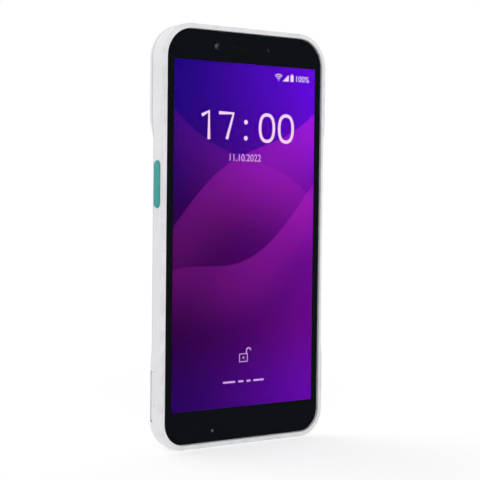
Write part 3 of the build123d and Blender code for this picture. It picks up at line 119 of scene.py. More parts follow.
def moulded_grain_effect():
    """Spark-eroded mould texture: fine pits, slow drift in gloss and faint flow marks."""
    group, given, made = new_effect(
        "moulded_grain",
        {"Pits": 5200.0, "Gloss": 0.45, "Spread": 0.08},
        ("Height", "Roughness", "Drift"),
    )
    place = put(group, "ShaderNodeTexCoord").outputs["Object"]
    fine = put(group, "ShaderNodeTexNoise", {"Vector": place, "Scale": given["Pits"], "Detail": 3.0})
    slow = put(group, "ShaderNodeTexNoise", {"Vector": place, "Scale": 42.0, "Detail": 4.0})
    half = sums(group, "MULTIPLY", given["Pits"], 0.13)
    middle = put(group, "ShaderNodeTexNoise", {"Vector": place, "Scale": half, "Detail": 2.0})
    drift = sums(group, "SUBTRACT", slow.outputs[0], 0.5)
    pits = sums(group, "SUBTRACT", fine.outputs[0], 0.5)
    wave = sums(group, "MULTIPLY", middle.outputs[0], 0.6)
    rough = sums(group, "MULTIPLY_ADD", drift, given["Spread"], given["Gloss"])
    link = group.links.new
    link(sums(group, "ADD", fine.outputs[0], wave), made["Height"])
    link(sums(group, "MULTIPLY_ADD", pits, 0.1, rough, clamp=True), made["Roughness"])
    link(slow.outputs[0], made["Drift"])
    return group


def edge_wear_effect():
    """Where the edges of a box-shaped piece are rubbed: two of the three distances to its box are small."""
    group, given, made = new_effect(
        "edge_wear",
        {"Centre": (0.0, 0.0, 0.0), "Half": (1.0, 1.0, 1.0), "Reach": 0.002, "Patches": 220.0},
        ("Mask",),
    )
    place = put(group, "ShaderNodeTexCoord").outputs["Object"]
    apart = put(group, "ShaderNodeVectorMath", {0: place, 1: given["Centre"]}, operation="SUBTRACT")
    size = put(group, "ShaderNodeVectorMath", {0: apart.outputs[0]}, operation="ABSOLUTE")
    inside = put(group, "ShaderNodeVectorMath", {0: given["Half"], 1: size.outputs[0]}, operation="SUBTRACT")
    gaps = put(group, "ShaderNodeSeparateXYZ", {0: inside.outputs[0]}).outputs
    nearer = sums(group, "MINIMUM", gaps[0], gaps[1])
    further = sums(group, "MAXIMUM", gaps[0], gaps[1])
    second = sums(group, "MAXIMUM", nearer, sums(group, "MINIMUM", further, gaps[2]))
    share = sums(group, "DIVIDE", second, given["Reach"])
    close = sums(group, "SUBTRACT", 1.0, ramp(group, share, 0.0, 1.0))
    patches = put(group, "ShaderNodeTexNoise", {"Vector": place, "Scale": given["Patches"], "Detail": 5.0})
    rubbed = ramp(group, patches.outputs[0], 0.42, 0.62)
    group.links.new(sums(group, "MULTIPLY", close, rubbed, clamp=True), made["Mask"])
    return group


effects = {"grain": moulded_grain_effect(), "wear": edge_wear_effect()}


def new_finish(name):
    """An empty material with its tree and its Principled shader."""
    material = bpy.data.materials.new(name)
    material.use_nodes = True
    tree = material.node_tree
    return material, tree, tree.nodes["Principled BSDF"]


def worn_edges(tree, box, reach, patches=220.0):
    """The mask of the rubbed edges of a piece with this box."""
    low, high = box
    sockets = {"Centre": (low + high) / 2, "Half": (high - low) / 2, "Reach": reach, "Patches": patches}
    return put(tree, "ShaderNodeGroup", node_tree=effects["wear"], sockets=sockets).outputs["Mask"]


def grain_outputs(tree, pits, gloss):
    """The outputs of the moulded grain with these values."""
    sockets = {"Pits": pits, "Gloss": gloss}
    return put(tree, "ShaderNodeGroup", node_tree=effects["grain"], sockets=sockets).outputs


def moulded_plastic(name, tones, gloss, box, pits=5200.0, depth=0.00001, worn=None, reach=0.003):
    """Moulded plastic: two close tones that drift, pitted satin, and edges rubbed towards the worn tone."""
    material, tree, shader = new_finish(name)
    grain = grain_outputs(tree, pits, gloss)
    mask = worn_edges(tree, box, reach)
    body = tint(tree, ramp(tree, grain["Drift"], 0.3, 0.7), *tones)
    colour = tint(tree, mask, body, worn or tones[1])
    rough = sums(tree, "MULTIPLY_ADD", mask, -0.12, grain["Roughness"], clamp=True)
    bump = put(tree, "ShaderNodeBump", {"Height": grain["Height"], "Distance": depth, "Strength": 1.0})
    link = tree.links.new
    link(colour, shader.inputs["Base Color"])
    link(rough, shader.inputs["Roughness"])
    link(bump.outputs[0], shader.inputs["Normal"])
    shader.inputs["IOR"].default_value = 1.5
    return material


def dress(names, material):
    """Give CAD nodes their finish."""
    for name in names:
        piece = nodes[name]
        if not piece.material_slots:
            piece.data.materials.append(material)
        for slot in piece.material_slots:
            slot.material = material


shell_tones = ((0.80, 0.795, 0.825, 1.0), (0.765, 0.765, 0.79, 1.0))
shell_worn = (0.70, 0.695, 0.70, 1.0)
seam_low, seam_high = 0.0004, 0.00055  # where the back shells meet the front frame
# colour of the painted shade along the parting line of the shells
painted_seam_shade = (0.30, 0.30, 0.315, 1.0)


def white_moulding(name, tones):
    """Shell plastic, with a painted shade line, uneven along its length, at the parting line where the shells
    meet.
    """
    material = moulded_plastic(name, tones, 0.42, cad_box, worn=shell_worn)
    tree = material.node_tree
    shader = tree.nodes["Principled BSDF"]
    place = put(tree, "ShaderNodeTexCoord").outputs["Object"]
    y = put(tree, "ShaderNodeSeparateXYZ", {0: place}).outputs[1]
    # painted shade: a thin dark line where the shells meet, broken up by noise
    apart = sums(tree, "ABSOLUTE", sums(tree, "SUBTRACT", y, (seam_low + seam_high) / 2))
    line = sums(tree, "SUBTRACT", 1.0, ramp(tree, apart, 0.0001, 0.00024))
    seam_shade_patches = put(tree, "ShaderNodeTexNoise", {"Vector": place, "Scale": 350.0, "Detail": 3.0}).outputs[0]
    mask = sums(tree, "MULTIPLY", line, sums(tree, "MULTIPLY_ADD", seam_shade_patches, 0.5, 0.45), clamp=True)
    colour = shader.inputs["Base Color"].links[0].from_socket
    tree.links.new(tint(tree, mask, colour, painted_seam_shade), shader.inputs["Base Color"])
    return material


dress(("front_frame",), white_moulding("white_shell", shell_tones))
back_tones = tuple(tuple(0.955 * part for part in tone[:3]) + (1.0,) for tone in shell_tones)
dress(("rear_housing", "battery_cover"), white_moulding("white_back", back_tones))

# ---------------------------------------------------------------------------
# Display: glass panel with a metal back, lit through the window in the border
# mask; its picture is a smooth gradient crossed by broad translucent ribbons.
# ---------------------------------------------------------------------------
lit_half_width, lit_middle = 0.034075, 0.0004
lit_bottom, lit_top = 0.0148, 0.1511
panel_skin = 0.00005  # how deep the picture's side of the panel reaches
unlit, panel_black = (0.0, 0.0, 0.0, 1.0), (0.0008, 0.0008, 0.001, 1.0)
panel_metal = ((0.50, 0.51, 0.52, 1.0), (0.60, 0.61, 0.62, 1.0))
cloud_share, side_bias = 0.3, 1.55  # unevenness of the gradient, and how long its left stays dark
top_fade, foot_fade, foot_share = (0.45, 1.0), (0.25, 0.0), 0.35  # heights where blue comes in
ribbons = (  # foot at the left, rise, sway, phase, width, share of orchid
    (0.50, 0.42, 0.055, 0.4, 0.30, 0.32),
    (0.34, 0.30, 0.070, 2.1, 0.22, 0.22),
    (0.90, -0.34, 0.050, 4.0, 0.26, 0.14),
)
night, plum = paint(46, 0, 66), paint(104, 2, 138)
indigo, violet = paint(30, 2, 126), paint(98, 4, 220)
orchid = paint(224, 38, 228)


def ribbon(tree, across, height, low, rise, sway, phase, width):
    """A ribbon that runs up across the picture, with a crisp upper edge and a fading inside."""
    turn = sums(tree, "MULTIPLY_ADD", across, 4.4, phase)
    wave = sums(tree, "MULTIPLY", sums(tree, "SINE", turn), sway)
    line = sums(tree, "MULTIPLY_ADD", across, rise, sums(tree, "ADD", wave, low))
    above = sums(tree, "SUBTRACT", height, line)
    upper = sums(tree, "SUBTRACT", 1.0, ramp(tree, above, 0.0, 0.004))
    fade = ramp(tree, above, -width, 0.0)
    return sums(tree, "MULTIPLY", upper, fade)


def lit_display():
    """Black panel glass whose lit area shows the picture, over a satin metal back."""
    material, tree, shader = new_finish("display")
    place = put(tree, "ShaderNodeTexCoord").outputs["Object"]
    x, y, z = put(tree, "ShaderNodeSeparateXYZ", {0: place}).outputs
    sideways = sums(tree, "SUBTRACT", x, lit_middle)
    across = sums(tree, "MULTIPLY_ADD", sideways, 0.5 / lit_half_width, 0.5)
    height = sums(tree, "DIVIDE", sums(tree, "SUBTRACT", z, lit_bottom), lit_top - lit_bottom)
    cloud = put(tree, "ShaderNodeTexNoise", {"Vector": place, "Scale": 16.0, "Detail": 1.0}).outputs[0]
    drift = sums(tree, "MULTIPLY_ADD", cloud, cloud_share, -cloud_share / 2)
    side = sums(tree, "POWER", sums(tree, "ADD", across, drift, clamp=True), side_bias)
    top = ramp(tree, sums(tree, "ADD", height, drift), *top_fade)
    foot = sums(tree, "MULTIPLY", ramp(tree, height, *foot_fade), foot_share)
    ends = sums(tree, "MAXIMUM", top, foot)
    picture = tint(tree, ends, tint(tree, side, night, plum), tint(tree, side, indigo, violet))
    for low, rise, sway, phase, width, share in ribbons:
        mask = ribbon(tree, across, height, low, rise, sway, phase, width)
        strength = sums(tree, "MULTIPLY_ADD", across, 0.7 * share, 0.3 * share)
        picture = tint(tree, sums(tree, "MULTIPLY", mask, strength), picture, orchid)
    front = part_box("display_panel")[0].y
    on_front = sums(tree, "LESS_THAN", y, front + panel_skin)
    within = sums(tree, "LESS_THAN", sums(tree, "ABSOLUTE", sideways), lit_half_width)
    low_enough = sums(tree, "LESS_THAN", z, lit_top)
    high_enough = sums(tree, "GREATER_THAN", z, lit_bottom)
    rows = sums(tree, "MULTIPLY", low_enough, high_enough)
    lit = sums(tree, "MULTIPLY", sums(tree, "MULTIPLY", on_front, within), rows)
    grain = grain_outputs(tree, 900.0, 0.3)
    metal = tint(tree, grain["Drift"], *panel_metal)
    link = tree.links.new
    link(tint(tree, on_front, metal, panel_black), shader.inputs["Base Color"])
    link(sums(tree, "SUBTRACT", 1.0, on_front), shader.inputs["Metallic"])
    link(grain["Roughness"], shader.inputs["Roughness"])
    link(tint(tree, lit, unlit, picture), shader.inputs["Emission Color"])
    shader.inputs["Emission Strength"].default_value = 1.0
    shader.inputs["Specular IOR Level"].default_value = 0.0
    return material


dress(("display_panel",), lit_display())


# ---------------------------------------------------------------------------
# Figures on the display: clock, date in plain numbers, reception and charge
# marks, an open padlock and a row of dashes, as lit strokes on the panel.
# ---------------------------------------------------------------------------
body_middle_depth = 7.6  # of the body, behind its front rim


def finish_piece(bm, name, material, body, sharp=35):
    """A piece from a bmesh in millimetres, with depths behind the front rim, that rides on a body."""
    bmesh.ops.translate(bm, vec=(0, -body_middle_depth, 0), verts=bm.verts)
    bmesh.ops.scale(bm, vec=(0.001, 0.001, 0.001), verts=bm.verts)
    bmesh.ops.recalc_face_normals(bm, faces=bm.faces)
    mesh = bpy.data.meshes.new(name)
    bm.to_mesh(mesh)
    bm.free()
    for face in mesh.polygons:
        face.use_smooth = True
    mesh.set_sharp_from_angle(angle=math.radians(sharp))
    mesh.materials.append(material)
    piece = bpy.data.objects.new(name, mesh)
    bpy.context.scene.collection.objects.link(piece)
    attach(piece, body)
    return piece


figure_depth = 1.42
figure_thickness = 0.02


def lit_strokes(name, tone):
    """Lit segments of the display: one tone, a little uneven as a backlight is."""
    material, tree, shader = new_finish(name)
    place = put(tree, "ShaderNodeTexCoord").outputs["Object"]
    uneven = put(tree, "ShaderNodeTexNoise", {"Vector": place, "Scale": 260.0, "Detail": 2.0}).outputs[0]
    dimmer = tuple(0.88 * part for part in tone[:3]) + (1.0,)
    tree.links.new(tint(tree, uneven, dimmer, tone), shader.inputs["Emission Color"])
    tree.links.new(sums(tree, "MULTIPLY_ADD", uneven, 0.2, 0.3), shader.inputs["Roughness"])
    shader.inputs["Base Color"].default_value = (0.02, 0.02, 0.02, 1.0)
    shader.inputs["Emission Strength"].default_value = 1.0
    shader.inputs["Specular IOR Level"].default_value = 0.0
    return material


def add_curve_mesh(bm, curve):
    """The mesh of a curve or text, laid flat on the display."""
    holder = bpy.data.objects.new("stroke", curve)
    bpy.context.scene.collection.objects.link(holder)
    bpy.context.view_layer.update()
    mesh = bpy.data.meshes.new_from_object(holder)
    start = len(bm.verts)
    bm.from_mesh(mesh)
    bm.verts.ensure_lookup_table()
    new = bm.verts[start:]
    bpy.data.objects.remove(holder)
    bpy.data.curves.remove(curve)
    bpy.data.meshes.remove(mesh)
    return new


def stroke(bm, points, width, closed=False):
    """A flat stroke of even width along points (x, height), with soft corners where it is closed."""
    curve = bpy.data.curves.new("stroke", "CURVE")
    curve.dimensions = "3D"
    curve.bevel_depth = width / 2
    curve.bevel_resolution = 1
    curve.use_fill_caps = True
    spline = curve.splines.new("POLY")
    spline.points.add(len(points) - 1)
    for point, (x, z) in zip(spline.points, points):
        point.co = (x, 0, z, 1)
    spline.use_cyclic_u = closed
    new = add_curve_mesh(bm, curve)
    bmesh.ops.scale(bm, vec=(1, figure_thickness / width, 1), verts=new)
    bmesh.ops.translate(bm, vec=(0, figure_depth, 0), verts=new)


def words(bm, text, sides, rows):
    """Plain figures set to fill a width and a height."""
    curve = bpy.data.curves.new("figures", "FONT")
    curve.body = text
    curve.extrude = figure_thickness / 2
    new = add_curve_mesh(bm, curve)
    bmesh.ops.rotate(bm, cent=(0, 0, 0), matrix=Matrix.Rotation(math.pi / 2, 3, "X"), verts=new)
    low = [min(vert.co[axis] for vert in new) for axis in range(3)]
    high = [max(vert.co[axis] for vert in new) for axis in range(3)]
    wide = (sides[1] - sides[0]) / (high[0] - low[0])
    tall = (rows[1] - rows[0]) / (high[2] - low[2])
    bmesh.ops.translate(bm, vec=(-low[0], 0, -low[2]), verts=new)
    bmesh.ops.scale(bm, vec=(wide, 1, tall), verts=new)
    bmesh.ops.translate(bm, vec=(sides[0], figure_depth, rows[0]), verts=new)


def loop_points(centre, half_width, half_height, power=2.4, steps=40):
    """Points round a rounded oval."""
    points = []
    for step in range(steps):
        angle = 2 * math.pi * step / steps
        c, s = math.cos(angle), math.sin(angle)
        x = centre[0] + half_width * math.copysign(abs(c) ** (2 / power), c)
        z = centre[1] + half_height * math.copysign(abs(s) ** (2 / power), s)
        points.append((x, z))
    return points


def arc_points(centre, radius, first, last, steps=10):
    """Points along an arc, angles in degrees from the right."""
    angles = [math.radians(first + (last - first) * step / steps) for step in range(steps + 1)]
    return [(centre[0] + radius * math.cos(a), centre[1] + radius * math.sin(a)) for a in angles]


figure_tone = lit_strokes("lit_figures", paint(255, 214, 248))
faint_tone = lit_strokes("lit_marks", paint(226, 172, 240))

clock_row, clock_top = 120.8, 131.65
clock_stroke, colon_stroke = 1.5, 1.0
zero_places, zero_row, zero_half = (10.45, 19.95), 126.15, (3.4, 5.3)
bm = bmesh.new()
stroke(bm, [(-20.8, 130.0), (-17.45, clock_top), (-17.45, clock_row)], clock_stroke)
stroke(bm, [(-12.8, 131.3), (-5.9, 131.3), (-9.0, clock_row + 0.3)], clock_stroke)
for middle in zero_places:
    stroke(bm, loop_points((middle, zero_row), *zero_half), clock_stroke, closed=True)
for row in (128.1, 121.75):
    stroke(bm, loop_points((0.1, row), 0.5, 0.5, power=2, steps=12), colon_stroke, closed=True)
finish_piece(bm, "clock_figures", figure_tone, "terminal")

bm = bmesh.new()
words(bm, "11.10.2022", (-7.5, 7.6), (112.6, 115.4))
finish_piece(bm, "date_figures", faint_tone, "terminal")

bm = bmesh.new()
fan_foot = (15.95, 145.6)
for radius in (0.9, 1.7, 2.5):
    stroke(bm, arc_points(fan_foot, radius, 45, 135), 0.4)
stroke(bm, loop_points(fan_foot, 0.12, 0.12, power=2, steps=8), 0.25, closed=True)
for step in range(6):
    left = 18.4 + 0.49 * step
    stroke(bm, [(left, 145.4), (left, 145.7 + 0.44 * step)], 0.5)
finish_piece(bm, "reception_marks", figure_tone, "terminal")

cell_bottom, cell_top = 145.4, 147.9  # the charge mark is three bars side by side and a cap
bm = bmesh.new()
for left in (22.25, 22.75, 23.25):
    stroke(bm, [(left, cell_bottom), (left, cell_top)], 0.55)
stroke(bm, [(22.75, cell_top), (22.75, cell_top + 0.5)], 0.8)
words(bm, "100%", (24.9, 31.4), (145.5, 147.9))
finish_piece(bm, "charge_marks", figure_tone, "terminal")

bm = bmesh.new()
lock_left, lock_right, lock_bottom, lock_top = -1.75, 2.0, 32.65, 35.75
corners = [(lock_left, lock_bottom), (lock_right, lock_bottom), (lock_right, lock_top), (lock_left, lock_top)]
stroke(bm, corners, 0.5, closed=True)
stroke(bm, loop_points((0.12, 34.2), 0.22, 0.3, power=2, steps=10), 0.4, closed=True)
shackle = [(1.55, lock_top), (1.55, 37.0)] + arc_points((2.6, 37.0), 1.05, 180, 0)
stroke(bm, shackle, 0.45)
finish_piece(bm, "padlock_mark", faint_tone, "terminal")

dash_row, dash_stroke = 24.8, 0.85
bm = bmesh.new()
for left, right in ((-9.6, -3.8), (-2.3, 0.2), (1.8, 3.7), (5.2, 10.2)):
    stroke(bm, [(left, dash_row), (right, dash_row)], dash_stroke)
finish_piece(bm, "swipe_dashes", faint_tone, "terminal")


# ---------------------------------------------------------------------------
# Glass stack: toughened cover glass with a coating against reflections, the
# black border printed behind it, foam adhesive ring and clear touch film.
# ---------------------------------------------------------------------------
def smudge_effect():
    """Polished glass as it is in the hand: clear, with slow films that are a little less smooth."""
    group, given, made = new_effect("smudge", {"Size": 60.0, "Least": 0.0, "Most": 0.05}, ("Roughness",))
    place = put(group, "ShaderNodeTexCoord").outputs["Object"]
    film = put(group, "ShaderNodeTexNoise", {"Vector": place, "Scale": given["Size"], "Detail": 5.0})
    seen = ramp(group, film.outputs[0], 0.45, 0.75)
    span = sums(group, "SUBTRACT", given["Most"], given["Least"])
    group.links.new(sums(group, "MULTIPLY_ADD", seen, span, given["Least"]), made["Roughness"])
    return group


effects["smudge"] = smudge_effect()


def clear_glass(name, tone, refraction, most, size=60.0):
    """Clear glass of one tone, with a film that varies its roughness."""
    material, tree, shader = new_finish(name)
    sockets = {"Size": size, "Most": most}
    film = put(tree, "ShaderNodeGroup", node_tree=effects["smudge"], sockets=sockets)
    tree.links.new(film.outputs[0], shader.inputs["Roughness"])
    shader.inputs["Base Color"].default_value = tone
    shader.inputs["Transmission Weight"].default_value = 1.0
    shader.inputs["IOR"].default_value = refraction
    return material


dress(("cover_glass",), clear_glass("cover_glass", (0.97, 0.985, 0.99, 1.0), 1.06, 0.03))

border_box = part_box("border_mask")
ink_tones = ((0.0055, 0.0062, 0.0078, 1.0), (0.0075, 0.0078, 0.0092, 1.0))
black_ink = moulded_plastic("black_mask", ink_tones, 0.5, border_box, pits=2600.0, depth=0.000002)
ink_shader = black_ink.node_tree.nodes["Principled BSDF"]
ink_shader.inputs["Specular IOR Level"].default_value = 0.05
painted_ink_glow = (0.0042, 0.0052, 0.0066, 1.0)  # painted glow that stands in for the light the cover glass keeps from the ink
# the border ink glows faintly as painted light, though it is no lamp
ink_shader.inputs["Emission Color"].default_value = painted_ink_glow
ink_shader.inputs["Emission Strength"].default_value = 1.0
dress(("border_mask",), black_ink)


def foam_rubber(name, tones, cells, depth, gloss=0.85):
    """Foam or soft rubber: open cells or fine bloom, matt."""
    material, tree, shader = new_finish(name)
    place = put(tree, "ShaderNodeTexCoord").outputs["Object"]
    pores = put(tree, "ShaderNodeTexVoronoi", {"Vector": place, "Scale": cells})
    bloom = put(tree, "ShaderNodeTexNoise", {"Vector": place, "Scale": 180.0, "Detail": 3.0}).outputs[0]
    bump = put(tree, "ShaderNodeBump", {"Height": pores.outputs["Distance"], "Distance": depth})
    link = tree.links.new
    link(tint(tree, bloom, *tones), shader.inputs["Base Color"])
    link(sums(tree, "MULTIPLY_ADD", bloom, -0.2, gloss + 0.1, clamp=True), shader.inputs["Roughness"])
    link(bump.outputs[0], shader.inputs["Normal"])
    return material


adhesive_tones = ((0.03, 0.03, 0.031, 1.0), (0.05, 0.05, 0.051, 1.0))
dress(("glass_adhesive",), foam_rubber("adhesive", adhesive_tones, 3200.0, 0.00003))


def touch_film():
    """Clear sensor film: a fine grid of almost invisible electrodes."""
    material, tree, shader = new_finish("touch_film")
    place = put(tree, "ShaderNodeTexCoord").outputs["Object"]
    x, y, z = put(tree, "ShaderNodeSeparateXYZ", {0: place}).outputs
    lines = []
    for axis in (x, z):
        phase = sums(tree, "FRACT", sums(tree, "MULTIPLY", axis, 240.0))
        lines.append(ramp(tree, sums(tree, "ABSOLUTE", sums(tree, "SUBTRACT", phase, 0.5)), 0.46, 0.5))
    grid = sums(tree, "MAXIMUM", *lines)
    link = tree.links.new
    link(sums(tree, "MULTIPLY_ADD", grid, 0.02, 0.005), shader.inputs["Alpha"])
    link(sums(tree, "MULTIPLY_ADD", grid, 0.1, 0.1), shader.inputs["Roughness"])
    shader.inputs["Base Color"].default_value = (0.02, 0.02, 0.025, 1.0)
    shader.inputs["Specular IOR Level"].default_value = 0.0
    return material


dress(("touch_panel",), touch_film())

# ---------------------------------------------------------------------------
# Keys in the walls: teal scan triggers and white small keys and latches, each
# moulded and pushed into its slot from the inside.
# ---------------------------------------------------------------------------
teal_tones = ((0.016, 0.335, 0.285, 1.0), (0.013, 0.30, 0.295, 1.0))
teal_worn = (0.03, 0.36, 0.31, 1.0)
for side in ("left", "right"):
    name = side + "_trigger_key"
    teal = moulded_plastic("teal_key_" + side, teal_tones, 0.42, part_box(name), worn=teal_worn, reach=0.0009)
    teal.node_tree.nodes["Principled BSDF"].inputs["Specular IOR Level"].default_value = 0.35
    dress((name,), teal)

key_tones = ((0.775, 0.77, 0.80, 1.0), (0.745, 0.745, 0.77, 1.0))
for name in ("left_latch_key", "right_latch_key", "power_key", "volume_rocker"):
    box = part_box(name)
    dress((name,), moulded_plastic("white_key_" + name, key_tones, 0.4, box, worn=shell_worn, reach=0.0008))


# ---------------------------------------------------------------------------
# Metal pieces: cast middle frame, sheet-steel cans, clips and socket, turned
# camera ring, screws, switches and the motor's can and weight.
# ---------------------------------------------------------------------------
def metal_grain_effect():
    """Drawn or brushed metal: fine lines along one direction and slow stains."""
    group, given, made = new_effect(
        "metal_grain",
        {"Stretch": (1.0, 1.0, 0.05), "Lines": 3000.0, "Gloss": 0.32, "Spread": 0.16},
        ("Height", "Roughness", "Drift"),
    )
    place = put(group, "ShaderNodeTexCoord").outputs["Object"]
    drawn = put(group, "ShaderNodeVectorMath", {0: place, 1: given["Stretch"]}, operation="MULTIPLY")
    sockets = {"Vector": drawn.outputs[0], "Scale": given["Lines"], "Detail": 3.0}
    lines = put(group, "ShaderNodeTexNoise", sockets)
    stains = put(group, "ShaderNodeTexNoise", {"Vector": place, "Scale": 150.0, "Detail": 4.0})
    both = sums(group, "MULTIPLY_ADD", lines.outputs[0], 0.6, sums(group, "MULTIPLY", stains.outputs[0], 0.4))
    centred = sums(group, "SUBTRACT", both, 0.5)
    link = group.links.new
    link(lines.outputs[0], made["Height"])
    link(sums(group, "MULTIPLY_ADD", centred, given["Spread"], given["Gloss"], clamp=True), made["Roughness"])
    link(stains.outputs[0], made["Drift"])
    return group


effects["metal"] = metal_grain_effect()


def worked_metal(name, tones, gloss, stretch=(1.0, 1.0, 0.05), lines=3000.0, depth=0.000004, box=None):
    """Metal with drawn lines; with a box, its edges are rubbed bright."""
    material, tree, shader = new_finish(name)
    sockets = {"Stretch": stretch, "Lines": lines, "Gloss": gloss}
    grain = put(tree, "ShaderNodeGroup", node_tree=effects["metal"], sockets=sockets).outputs
    colour = tint(tree, ramp(tree, grain["Drift"], 0.3, 0.7), *tones)
    if box:
        bright = tuple(min(1.0, 1.3 * part) for part in tones[1][:3]) + (1.0,)
        colour = tint(tree, worn_edges(tree, box, 0.0006, 900.0), colour, bright)
    bump = put(tree, "ShaderNodeBump", {"Height": grain["Height"], "Distance": depth})
    link = tree.links.new
    link(colour, shader.inputs["Base Color"])
    link(grain["Roughness"], shader.inputs["Roughness"])
    link(bump.outputs[0], shader.inputs["Normal"])
    shader.inputs["Metallic"].default_value = 1.0
    return material


even = (1.0, 1.0, 1.0)  # no direction to the lines
along_x, along_y, along_z = (0.05, 1.0, 1.0), (1.0, 0.1, 1.0), (1.0, 1.0, 0.05)
cast_tones = ((0.55, 0.55, 0.56, 1.0), (0.62, 0.62, 0.63, 1.0))
dress(("mid_frame",), worked_metal("cast_metal", cast_tones, 0.5, even, 2600.0, 0.00001))
steel_tones = ((0.62, 0.62, 0.61, 1.0), (0.72, 0.72, 0.71, 1.0))
can_steel = worked_metal("can_steel", steel_tones, 0.3, along_x)
dress(("shield_cans", "vibration_motor", "lower_microphone", "card_holder"), can_steel)
socket_steel = worked_metal("socket_steel", steel_tones, 0.24, (1.0, 1.0, 0.04), box=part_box("usb_shell"))
dress(("usb_shell",), socket_steel)
dark_steel_tones = ((0.16, 0.16, 0.165, 1.0), (0.22, 0.22, 0.225, 1.0))
screw_steel = worked_metal("screw_steel", dark_steel_tones, 0.34, (1.0, 0.08, 1.0))
dress(("board_screws", "housing_screws"), screw_steel)
weight_tones = ((0.42, 0.42, 0.41, 1.0), (0.5, 0.5, 0.49, 1.0))
dress(("motor_weight",), worked_metal("weight_metal", weight_tones, 0.42, even, 2200.0))
ring_tones = ((0.26, 0.26, 0.275, 1.0), (0.31, 0.31, 0.325, 1.0))
ring_metal = worked_metal("ring_metal", ring_tones, 0.3, along_y, box=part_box("camera_ring"))
dress(("camera_ring",), ring_metal)
spring_tones = ((0.58, 0.58, 0.55, 1.0), (0.68, 0.68, 0.65, 1.0))
dress(("left_latch_clip", "right_latch_clip"), worked_metal("spring_steel", spring_tones, 0.26, along_z))
dress(("side_switches",), worked_metal("switch_steel", steel_tones, 0.28, (1.0, 1.0, 0.06)))
mesh_tones = ((0.008, 0.008, 0.0085, 1.0), (0.013, 0.013, 0.014, 1.0))
mesh_steel = worked_metal("mesh_steel", mesh_tones, 0.42, even, 5200.0)
dress(("speaker_mesh", "earpiece_mesh"), mesh_steel)
copper_tones = ((0.62, 0.33, 0.2, 1.0), (0.7, 0.4, 0.26, 1.0))
dress(("upper_antenna",), worked_metal("copper", copper_tones, 0.3, along_x))
gold_tones = ((0.8, 0.56, 0.2, 1.0), (0.88, 0.66, 0.3, 1.0))
contact_gold = worked_metal("contact_gold", gold_tones, 0.22, (1.0, 1.0, 0.1))
dress(("bay_contacts",), contact_gold)
pouch_tones = ((0.52, 0.53, 0.54, 1.0), (0.6, 0.61, 0.62, 1.0))
dress(("battery_cell",), worked_metal("cell_pouch", pouch_tones, 0.36, (1.0, 1.0, 0.2), 900.0, 0.00002))


# ---------------------------------------------------------------------------
# Boards and flexes: green laminate with traces under its mask, amber film
# flexes, and the antenna coil on its ferrite sheet.
# ---------------------------------------------------------------------------
def traces_effect():
    """Board artwork: fine lines with right-angled bends, and scattered round pads."""
    group, given, made = new_effect("traces", {"Pitch": 900.0, "Pads": 420.0}, ("Line", "Pad"))
    place = put(group, "ShaderNodeTexCoord").outputs["Object"]
    sockets = {"Vector": place, "Scale": given["Pitch"], "Randomness": 0.6}
    cells = put(group, "ShaderNodeTexVoronoi", sockets, distance="CHEBYCHEV", feature="F1")
    rings = sums(group, "FRACT", sums(group, "MULTIPLY", cells.outputs["Distance"], 2.4))
    line = ramp(group, sums(group, "ABSOLUTE", sums(group, "SUBTRACT", rings, 0.5)), 0.2, 0.3)
    dots = put(group, "ShaderNodeTexVoronoi", {"Vector": place, "Scale": given["Pads"], "Randomness": 0.9})
    pad = sums(group, "SUBTRACT", 1.0, ramp(group, dots.outputs["Distance"], 0.13, 0.18))
    group.links.new(line, made["Line"])
    group.links.new(pad, made["Pad"])
    return group


effects["traces"] = traces_effect()
mask_green, trace_green = (0.008, 0.075, 0.035, 1.0), (0.02, 0.16, 0.075, 1.0)
pad_gold = (0.75, 0.52, 0.2, 1.0)


def laminate(name, bare_before=None):
    """Green solder mask over traces, with gold pads; what lies before a depth is all gold."""
    material, tree, shader = new_finish(name)
    art = put(tree, "ShaderNodeGroup", node_tree=effects["traces"]).outputs
    grain = grain_outputs(tree, 1500.0, 0.32)
    bare = art["Pad"]
    if bare_before is not None:
        place = put(tree, "ShaderNodeTexCoord").outputs["Object"]
        y = put(tree, "ShaderNodeSeparateXYZ", {0: place}).outputs[1]
        bare = sums(tree, "MAXIMUM", bare, sums(tree, "LESS_THAN", y, bare_before))
    green = tint(tree, art["Line"], mask_green, trace_green)
    bump = put(tree, "ShaderNodeBump", {"Height": art["Line"], "Distance": 0.00002})
    link = tree.links.new
    link(tint(tree, bare, green, pad_gold), shader.inputs["Base Color"])
    link(bare, shader.inputs["Metallic"])
    link(grain["Roughness"], shader.inputs["Roughness"])
    link(bump.outputs[0], shader.inputs["Normal"])
    return material


dress(("main_board", "lower_board"), laminate("board_green"))
dress(("battery_board",), laminate("pack_board_green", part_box("battery_board")[0].y + 0.0005))


def amber_film(name, tones, pitch):
    """Polyimide film over fine copper lines along the body."""
    material, tree, shader = new_finish(name)
    place = put(tree, "ShaderNodeTexCoord").outputs["Object"]
    x, y, z = put(tree, "ShaderNodeSeparateXYZ", {0: place}).outputs
    run = sums(tree, "FRACT", sums(tree, "MULTIPLY", sums(tree, "ADD", x, y), pitch))
    line = ramp(tree, sums(tree, "ABSOLUTE", sums(tree, "SUBTRACT", run, 0.5)), 0.15, 0.25)
    uneven = put(tree, "ShaderNodeTexNoise", {"Vector": place, "Scale": 300.0, "Detail": 3.0}).outputs[0]
    bump = put(tree, "ShaderNodeBump", {"Height": line, "Distance": 0.00002})
    link = tree.links.new
    link(tint(tree, line, *tones), shader.inputs["Base Color"])
    link(sums(tree, "MULTIPLY_ADD", uneven, 0.2, 0.2), shader.inputs["Roughness"])
    link(bump.outputs[0], shader.inputs["Normal"])
    return material


film_tones = ((0.55, 0.2, 0.025, 1.0), (0.4, 0.13, 0.02, 1.0))
dress(("link_flex", "left_key_flex", "right_key_flex"), amber_film("flex_amber", film_tones, 1600.0))
ferrite_tones = ((0.05, 0.05, 0.053, 1.0), (0.45, 0.22, 0.12, 1.0))
dress(("near_field_antenna",), amber_film("ferrite", ferrite_tones, 900.0))

